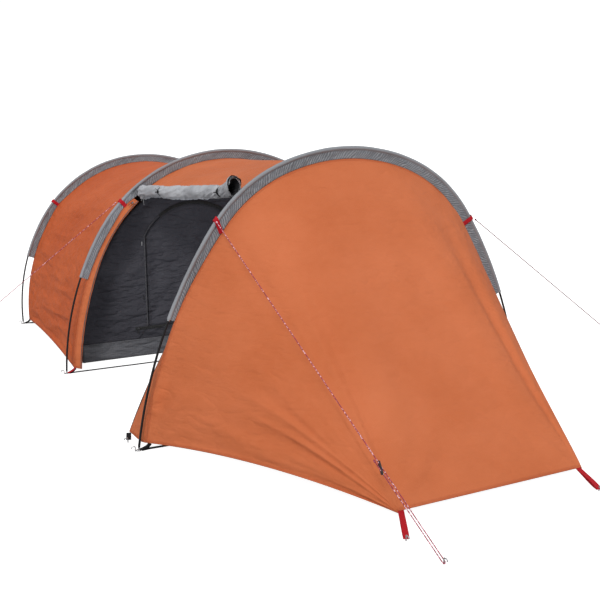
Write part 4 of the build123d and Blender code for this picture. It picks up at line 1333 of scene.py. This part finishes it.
def wall_wave(x, z, seed):
    """Slack of a hung inner wall: soft vertical folds and a low belly."""
    folds = 0.0055 * layered(x * 9.0 + z * 1.5, z * 2.2, seed, 3)
    slant = 0.0060 * layered(x * 7.0 - z * 9.0, z * 3.0 + x, seed + 5, 3)
    return folds + slant


def make_inner_front():
    """Front wall, as a sheet with a hole, and the door that fills the hole."""
    inset = INNER_INSET + 0.002
    side = angle_at_height(INNER_FRONT, inset, INNER_BASE)
    middle = np.array([(HINGE_X + FREE_X) / 2, 0.48])
    hole = door_loop(0.004, 260)
    x, z = arch(INNER_FRONT, inset, even_headings(INNER_FRONT, inset, side, -side,
                                                  np.linspace(0, 1, 600)))
    floor_x = np.linspace(x[-1], x[0], 200)[1:-1]
    rim = np.concatenate([np.stack([x, z], -1), np.stack([floor_x, np.full_like(floor_x, INNER_BASE)], -1)])
    rim_angle = np.unwrap(np.arctan2(rim[:, 1] - middle[1], rim[:, 0] - middle[0]))
    hole_angle = np.unwrap(np.arctan2(hole[:, 1] - middle[1], hole[:, 0] - middle[0]))
    hole_angle = hole_angle + 2 * math.pi * np.round((rim_angle[0] - hole_angle[0]) / (2 * math.pi))
    wrapped = np.concatenate([rim_angle - 2 * math.pi, rim_angle, rim_angle + 2 * math.pi])
    order = np.argsort(wrapped)
    tripled = np.tile(rim, (3, 1))[order]
    outer = np.stack([np.interp(hole_angle, wrapped[order], tripled[:, k]) for k in (0, 1)], -1)
    share = stations(0.3, 34)
    ring = blend(hole[:, None], outer[:, None], share[None, :, None])
    ring = np.concatenate([ring, ring[:1]], axis=0)
    wave = 1.3 * wall_wave(ring[..., 0], ring[..., 1], 51)
    wave = wave * smooth(share * 6)[None] * smooth((1 - share) * 8)[None]
    for toggle_z in TOGGLE_Z:
        apart = (ring[..., 0] - HINGE_X + 0.026) ** 2 + (ring[..., 1] - toggle_z) ** 2
        wave = wave * (1 - np.exp(-apart / 0.055 ** 2))
    points = np.stack([ring[..., 0], WALL_FACE_Y + wave, ring[..., 1]], -1)
    wall = cloth_piece("inner_front_panel", points, (0, 3.0, 0.4), INNER, "charcoal_inner",
                       "inner_front_wall")

    across = stations(0.55, 56)
    down = stations(0.68, 66)
    x = HINGE_X + (FREE_X - HINGE_X) * across
    z = DOOR_LOW + (door_height(x)[:, None] - DOOR_LOW) * down[None]
    xx = np.broadcast_to(x[:, None], z.shape)
    hold = smooth(column(from_ends(across)) * 14) * smooth(from_ends(down) * 14)
    wave = 1.3 * wall_wave(xx, z, 57) * hold
    points = np.stack([xx, WALL_FACE_Y + wave, z], -1)
    door = cloth_piece("inner_door_panel", points, (0, 3.0, 0.4), INNER, "charcoal_inner", "inner_door",
                       "inner_door")


def before_wall(line):
    """Points just in front of the inner front wall from (x, z) points."""
    return np.stack([line[:, 0], np.full(len(line), ZIP_FACE_Y), line[:, 1]], -1)


def make_inner_zip():
    """Arched door zip, its lead-in and the taped seam down the hinge side."""
    grow = 0.009
    left, right = HINGE_X - grow, FREE_X + grow
    low = DOOR_LOW - grow
    x = np.linspace(right, -0.366, 70)
    corner = [(left - 0.071, low), (right - 0.02, low), (right - 0.006, low + 0.006), (right, low + 0.02)]
    arch_part = np.stack([x, door_height(x, grow)], -1)
    flat_path = np.concatenate([corner, arch_part])
    path = before_wall(even_points(flat_path, 420))
    tangent = unit(np.gradient(path, axis=0))
    forward = np.broadcast_to(np.array([0.0, -1.0, 0.0]), path.shape)
    across = unit(np.cross(forward, tangent))
    tape = ribbon_grid("inner_zip_tape", path, across, 0.0172, ZIP_BLACK, away=(0, 3, 0.4))
    finish_piece(tape, replaces=("inner_door_zip",))
    coil = teeth("inner_zip_coil", path + forward * 0.0004, across, forward, ZIP_BLACK, height=0.0010)
    finish_piece(coil)
    x = np.linspace(-0.368, HINGE_X - HINGE_TAPE_X_OFF, 30)
    top = np.stack([x, door_height(x, 0.012)], -1)
    z = np.linspace(top[-1, 1], DOOR_LOW, 50)[1:]
    line = np.concatenate([top, np.stack([np.full(49, HINGE_X - HINGE_TAPE_X_OFF), z], -1)])
    seam = before_wall(line)
    across = unit(np.cross(np.array([0.0, -1.0, 0.0]), unit(np.gradient(seam, axis=0))))
    tape = ribbon_grid("inner_hinge_tape", seam, across, 0.0045, SEAM_TAPE, away=(0, 3, 0.4))
    finish_piece(tape)


def make_inner_shell():
    """Side and roof walls as one sheet, and the rear wall."""
    across = stations(2.2, 150)
    down = stations(1.1, 70)
    rails = []
    for hoop, ahead, low in ((INNER_FRONT, -0.002, INNER_BASE), (INNER_REAR, 0.002, INNER_REAR_BASE)):
        side = angle_at_height(hoop, INNER_INSET, low)
        t = even_headings(hoop, INNER_INSET, -side, side, across)
        rails.append(arch_points(hoop, INNER_INSET, t, ahead))
    w = down[None, :]
    points = blend(rails[0][:, None], rails[1][:, None], w[..., None])
    normal = normals_of(points, (0, 1.1, 0.2))
    hung = smooth(from_ends(w) * 12) * smooth(column(from_ends(across)) * 20)
    folds = -0.030 * np.sin(math.pi * w) * np.sin(math.pi * across)[:, None]
    folds = folds + 0.006 * layered(across[:, None] * 14, w * 2.5, 61, 3) * hung
    points = points + normal * folds[..., None]
    shell = cloth_piece("inner_shell", points, (0, 1.1, 0.2), INNER, "charcoal_inner", "inner_walls")

    hoop = INNER_REAR
    inset = INNER_INSET + 0.002
    side = angle_at_height(hoop, inset, INNER_REAR_BASE)
    x, v = arch(hoop, inset, even_headings(hoop, inset, -side, side, across))
    low = np.linspace(-1, 1, len(across)) * x.max()
    up = np.linspace(0, 1, 40)[None, :]
    xx = blend(low[:, None], x[:, None], up)
    vv = blend(INNER_REAR_BASE, v[:, None], up)
    wave = 0.004 * layered(xx * 8, vv * 4, 67, 3)
    wave = wave * smooth(from_ends(up) * 10) * smooth(column(from_ends(across)) * 20)
    points = on_hoop(hoop, xx, vv)
    points[..., 1] += wave
    wall = cloth_piece("inner_rear_panel", points, (0, 0.0, 0.4), INNER, "charcoal_inner",
                       "inner_rear_wall")


def make_floor_tray():
    """Groundsheet with low walls, rounded corners and folds in the walls."""
    half = []
    for hoop in (INNER_FRONT, INNER_REAR):
        half.append(arch(hoop, INNER_INSET, angle_at_height(hoop, INNER_INSET, BATHTUB))[0])
    (fx, rx) = (float(h) for h in half)
    y0, y1 = INNER_FRONT_Y, INNER_REAR_Y
    corners = np.array([(-fx, y0), (fx, y0), (rx, y1), (-rx, y1), (-fx, y0)])
    s = np.linspace(0, travelled(corners)[-1], 420)
    outline = even_points(corners, 420)
    centre = np.array([0.0, (y0 + y1) / 2])
    inward = unit(centre - outline)
    profile = [(0.0, BATHTUB), (0.0, BATHTUB - 0.006), (0.0, 0.085), (0.001, 0.06), (0.001, 0.035),
               (0.002, 0.018), (0.004, 0.008), (0.010, 0.0025), (0.020, 0.0012)]
    profile += [(d, 0.0012) for d in (0.05, 0.1, 0.2, 0.3, 0.4, 0.5)]
    points = np.zeros((len(s), len(profile) + 1, 3))
    for j, (d, z) in enumerate(profile):
        fade = smooth(1 - abs(z - 0.055) / 0.05)
        ripple = 0.0035 * layered(s / 0.11 + 0.3 * j, np.full_like(s, j * 0.5), 81, 2) * fade
        points[:, j, :2] = outline + inward * (d + np.abs(ripple))[:, None]
        points[:, j, 2] = z
    points[:, -1, :2] = centre + (outline - centre) * 0.02
    points[:, -1, 2] = 0.0012
    tray = cloth_piece("groundsheet_tray", points, (0, 1.1, 0.5), (FLOOR_GREY, FLOOR_GREY), "floor_grey",
                       "inner_floor", thick=0.0012)


# --- Webbing ---

def tack(name, place, across, along, width, length, thickness, material):
    """A box of stitching on webbing, as a low pad."""
    place, across, along = (np.asarray(v, float) for v in (place, across, along))
    path = [place - along * length / 2, place, place + along * length / 2]
    return strap(name, path, width, thickness, across, material, 8)


def make_guy_tabs():
    """Red webbing round each sleeve with its loop outside, and a bar of stitching."""
    profile = [(-0.0430, 0.0052), (-0.030, 0.0062), (-0.016, 0.0082), (-0.006, 0.0100),
               (0.003, 0.0100), (0.0085, 0.0082), (0.0122, 0.0048), (0.0136, 0.0014)]
    profile += [(o, -a) for o, a in profile[::-1]]
    pieces = []
    for number, hoop in HOOPS.items():
        ahead = ahead_of(hoop)
        for side in (-1, 1):
            t = side * angle_at_height(hoop, 0.0, hoop["tab_z"][(side + 1) // 2])
            centre = arch_points(hoop, 0.0, t)
            outward = outward_at(hoop, t)
            tangent = np.cross(ahead, outward)
            slant = -0.55 * tangent * side if (number, side) == (1, -1) else 0.0 * tangent
            path = [centre + outward * o + ahead * a + slant * (0.010 - o) for o, a in profile]
            pieces.append(strap(f"tab_{number}_{side}", path, WEB_WIDTH, WEB_THICK, tangent, RED_WEB, 90))
            for way in (-1, 1):
                place = centre - outward * 0.026 + ahead * way * 0.0074 + slant * 0.036
                pieces.append(tack(f"bar_{number}_{side}_{way}", place, tangent, outward,
                                   0.015, 0.006, 0.0010, RED_WEB))
    finish_piece(join("guy_tab_bands", pieces), replaces=("guy_tabs",))


def make_foot_straps():
    """At each foot a red tab and a black one tie the hem to the ground ring."""
    red, black = [], []
    for number, hoop in HOOPS.items():
        y = hoop["y"]
        hem_x = float(arch(hoop, FLY_INSET, angle_at_height(hoop, FLY_INSET, HEM_Z))[0])
        ring_x = hoop["half_width"] - 0.009
        tab = [(hem_x - 0.004, HEM_Z + 0.012), (hem_x + 0.002, HEM_Z + 0.004), (hem_x + 0.012, 0.016),
               (ring_x - 0.008, 0.0075), (ring_x - 0.001, 0.0055), (ring_x + 0.0035, 0.0030)]
        under = [(hem_x - 0.002, HEM_Z - 0.004), (hem_x + 0.010, 0.010),
                 (ring_x - 0.010, 0.0048), (ring_x - 0.0036, 0.0036)]
        group, material = (red, RED_WEB) if number == 2 else (black, BLACK_WEB)
        for side in (-1, 1):
            path, low_path = ([(side * x, y, z) for x, z in line] for line in (tab, under))
            group.append(strap(f"foot_tab_{number}_{side}", path, WEB_WIDTH, WEB_THICK, (0, 1, 0),
                               material, 34))
            black.append(strap(f"foot_black_{number}_{side}", low_path, 0.019, 0.0013, (0, 1, 0),
                               BLACK_WEB, 24))
    finish_piece(join("foot_tab_red", red), replaces=("foot_tabs",))
    finish_piece(join("foot_tab_black", black))


def make_ground_straps():
    """Webbing from foot to foot of each hoop, flat on the ground."""
    for number, hoop in HOOPS.items():
        half = hoop["half_width"] - 0.0118
        x = np.linspace(-half, half, 160)
        z = 0.0009 + 0.0012 * np.abs(layered(x * 6, x * 0, 201 + number, 2))
        z = z * smooth((half - np.abs(x)) / 0.03) + 0.0009
        sway = 0.004 * layered(x * 1.6, x * 0 + 3, 205 + number, 2)
        y = hoop["y"] + sway * smooth((half - np.abs(x)) / 0.1)
        path = np.stack([x, y, z], -1)
        piece = sweep(f"ground_band_{number}", path, rounded_section(0.020, 0.0015), (0, 1, 0), BLACK_WEB)
        finish_piece(piece, replaces=(f"ground_strap_{number}",))


def make_peg_straps():
    """Red loops from the fly corners to their pegs, and the black tab of the door strip."""
    groups = {"nose_peg_straps": ("nose_peg_loops", -1, NOSE_HALF, NOSE_HEM_Y, (-0.459, 0.339), -2.008),
              "rear_peg_straps": ("rear_peg_loops", 1, REAR_HALF, REAR_HEM_Y, (-0.619, 0.619), 2.008)}
    for name, (node, way, half, y, peg_x, peg_y) in groups.items():
        pieces = []
        for side in (-1, 1):
            start = np.array([side * (half - 0.012), y - way * 0.012, HEM_Z + 0.004])
            peg = np.array([peg_x[(side + 1) // 2], peg_y, 0.009])
            run = unit(peg - start)
            across = unit(np.cross(run, (0, 0, 1.0)))
            lift = np.cross(across, run)
            for k in (-1, 1):
                spread = [0.0004, 0.0016, 0.0038, 0.0040, 0.0022]
                shares = [0.0, 0.22, 0.55, 0.85, 0.985]
                path = [start + (peg - start) * q + lift * (k * s) for q, s in zip(shares, spread)]
                pieces.append(strap(f"{name}_{side}_{k}", path, 0.020, 0.0013, across, RED_WEB, 40))
            tip = start + (peg - start) * 0.985
            nose = [tip + lift * 0.0022, tip + run * 0.004 + lift * 0.0012,
                    tip + run * 0.004 - lift * 0.0012, tip - lift * 0.0022]
            pieces.append(strap(f"{name}_{side}_tip", nose, 0.020, 0.0013, across, RED_WEB, 16))
            pieces.append(tack(f"{name}_{side}_bar", start + run * 0.010 + lift * 0.0020, across, run,
                               0.017, 0.012, 0.0012, RED_WEB))
        finish_piece(join(name, pieces), replaces=(node,))
    _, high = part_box("door_strip_tab")
    start = np.array([high.x - 0.012, high.y - 0.006, HEM_Z - 0.004])
    peg = np.array([-0.956, -0.757, 0.010])
    run = unit(peg - start)
    across = unit(np.cross(run, (0, 0, 1.0)))
    path = [start, start + (peg - start) * 0.5 + (0, 0, 0.002), peg]
    piece = strap("door_strip_strap", path, WEB_WIDTH, WEB_THICK, across, BLACK_WEB, 24)
    finish_piece(piece, replaces=("door_strip_tab",))


def make_inner_straps():
    """Elastic hangers from the flysheet's hoops, and straps from the groundsheet's corners."""
    hangers = []
    for hoop, ahead in ((INNER_FRONT, -0.030), (INNER_REAR, 0.040)):
        for degrees in (-50.0, 0.0, 50.0):
            t = math.radians(degrees)
            ends = [arch_points(hoop, INNER_INSET - d, t, ahead) for d in (0.004, 0.046)]
            bow = (ends[0] + ends[1]) / 2 + np.array([0.0, 0.002, 0.0])
            hangers.append(strap(f"hanger_{len(hangers)}", [ends[0], bow, ends[1]], 0.010, 0.0015,
                                 (0, 1, 0), ELASTIC, 14))
    finish_piece(join("hanger_bands", hangers), replaces=("inner_hangers",))
    corners = []
    for inner, outer in ((INNER_FRONT, HOOPS[2]), (INNER_REAR, HOOPS[3])):
        half = float(arch(inner, INNER_INSET, angle_at_height(inner, INNER_INSET, BATHTUB))[0])
        toward = -1 if outer["y"] < inner["y"] else 1
        for side in (-1, 1):
            start = np.array([side * half, inner["y"], 0.010])
            end = np.array([side * (outer["half_width"] - 0.020), outer["y"] - toward * 0.014, 0.004])
            run = unit(end - start)
            path = [start, start + (end - start) * 0.5 - (0, 0, 0.002), end]
            across = np.cross(run, (0, 0, 1.0))
            corners.append(strap(f"corner_{len(corners)}", path, 0.012, 0.0014, across, BLACK_WEB, 24))
    finish_piece(join("corner_bands", corners), replaces=("inner_corner_straps",))


# --- Materials of the CAD nodes that stay ---

NODE_MATERIALS = {
    "pole_sections_": POLE, "ferrules_": STEEL, "pole_pins": STEEL, "foot_rings": STEEL,
    "pegs": STEEL, "guy_pegs": STEEL, "shock_cord_": SHOCK, "door_slider_": ZIP_METAL,
    "door_pull_": BLACK_PLASTIC, "inner_slider": ZIP_METAL, "inner_pull": BLACK_PLASTIC,
    "inner_toggle_upper": PALE_PLASTIC, "inner_toggle_lower": BLACK_PLASTIC,
    "roll_toggle_": BLACK_PLASTIC, "tensioner_": BLACK_PLASTIC,
}


def dress_nodes():
    """Gives the CAD nodes that stay visible their materials."""
    for start, material in NODE_MATERIALS.items():
        for name, node in nodes.items():
            if name.startswith(start):
                node.data.materials.clear()
                node.data.materials.append(material)


def make_floor():
    """A wide disc just under the tent."""
    n = 96
    a = np.linspace(0, 2 * math.pi, n, endpoint=False)
    radii = (4.0, 12.0, 40.0, 120.0)
    points = [(0.0, 0.0, FLOOR_Z)] + [(r * math.cos(k), r * math.sin(k), FLOOR_Z) for r in radii for k in a]
    faces = [(0, 1 + k, 1 + (k + 1) % n) for k in range(n)]
    faces += quads_of(1 + np.arange(n * len(radii)).reshape(-1, n), True).tolist()
    floor = mesh_object("studio_floor", points, faces, None, None, (floor_material(),))


for number, seed in ((1, 301), (2, 311), (3, 321)):
    make_sleeve(number, seed)
make_nose()
make_bay("roof_panel", HOOPS[1], HOOPS[2], (DOOR_EDGE[1], DOOR_EDGE[2]),
         0.018, 401, "fly_roof_middle", (2.05, 1.27), False)
make_bay("rear_bay_panel", HOOPS[2], HOOPS[3], (None, None),
         0.020, 431, "fly_rear_bay", (2.70, 1.60), True)
make_rear_wall()
make_door_strips()
make_roll()
make_door_zips()
make_inner_front()
make_inner_zip()
make_inner_shell()
make_floor_tray()
make_guy_tabs()
make_foot_straps()
make_ground_straps()
make_peg_straps()
make_inner_straps()
dress_nodes()
make_floor()
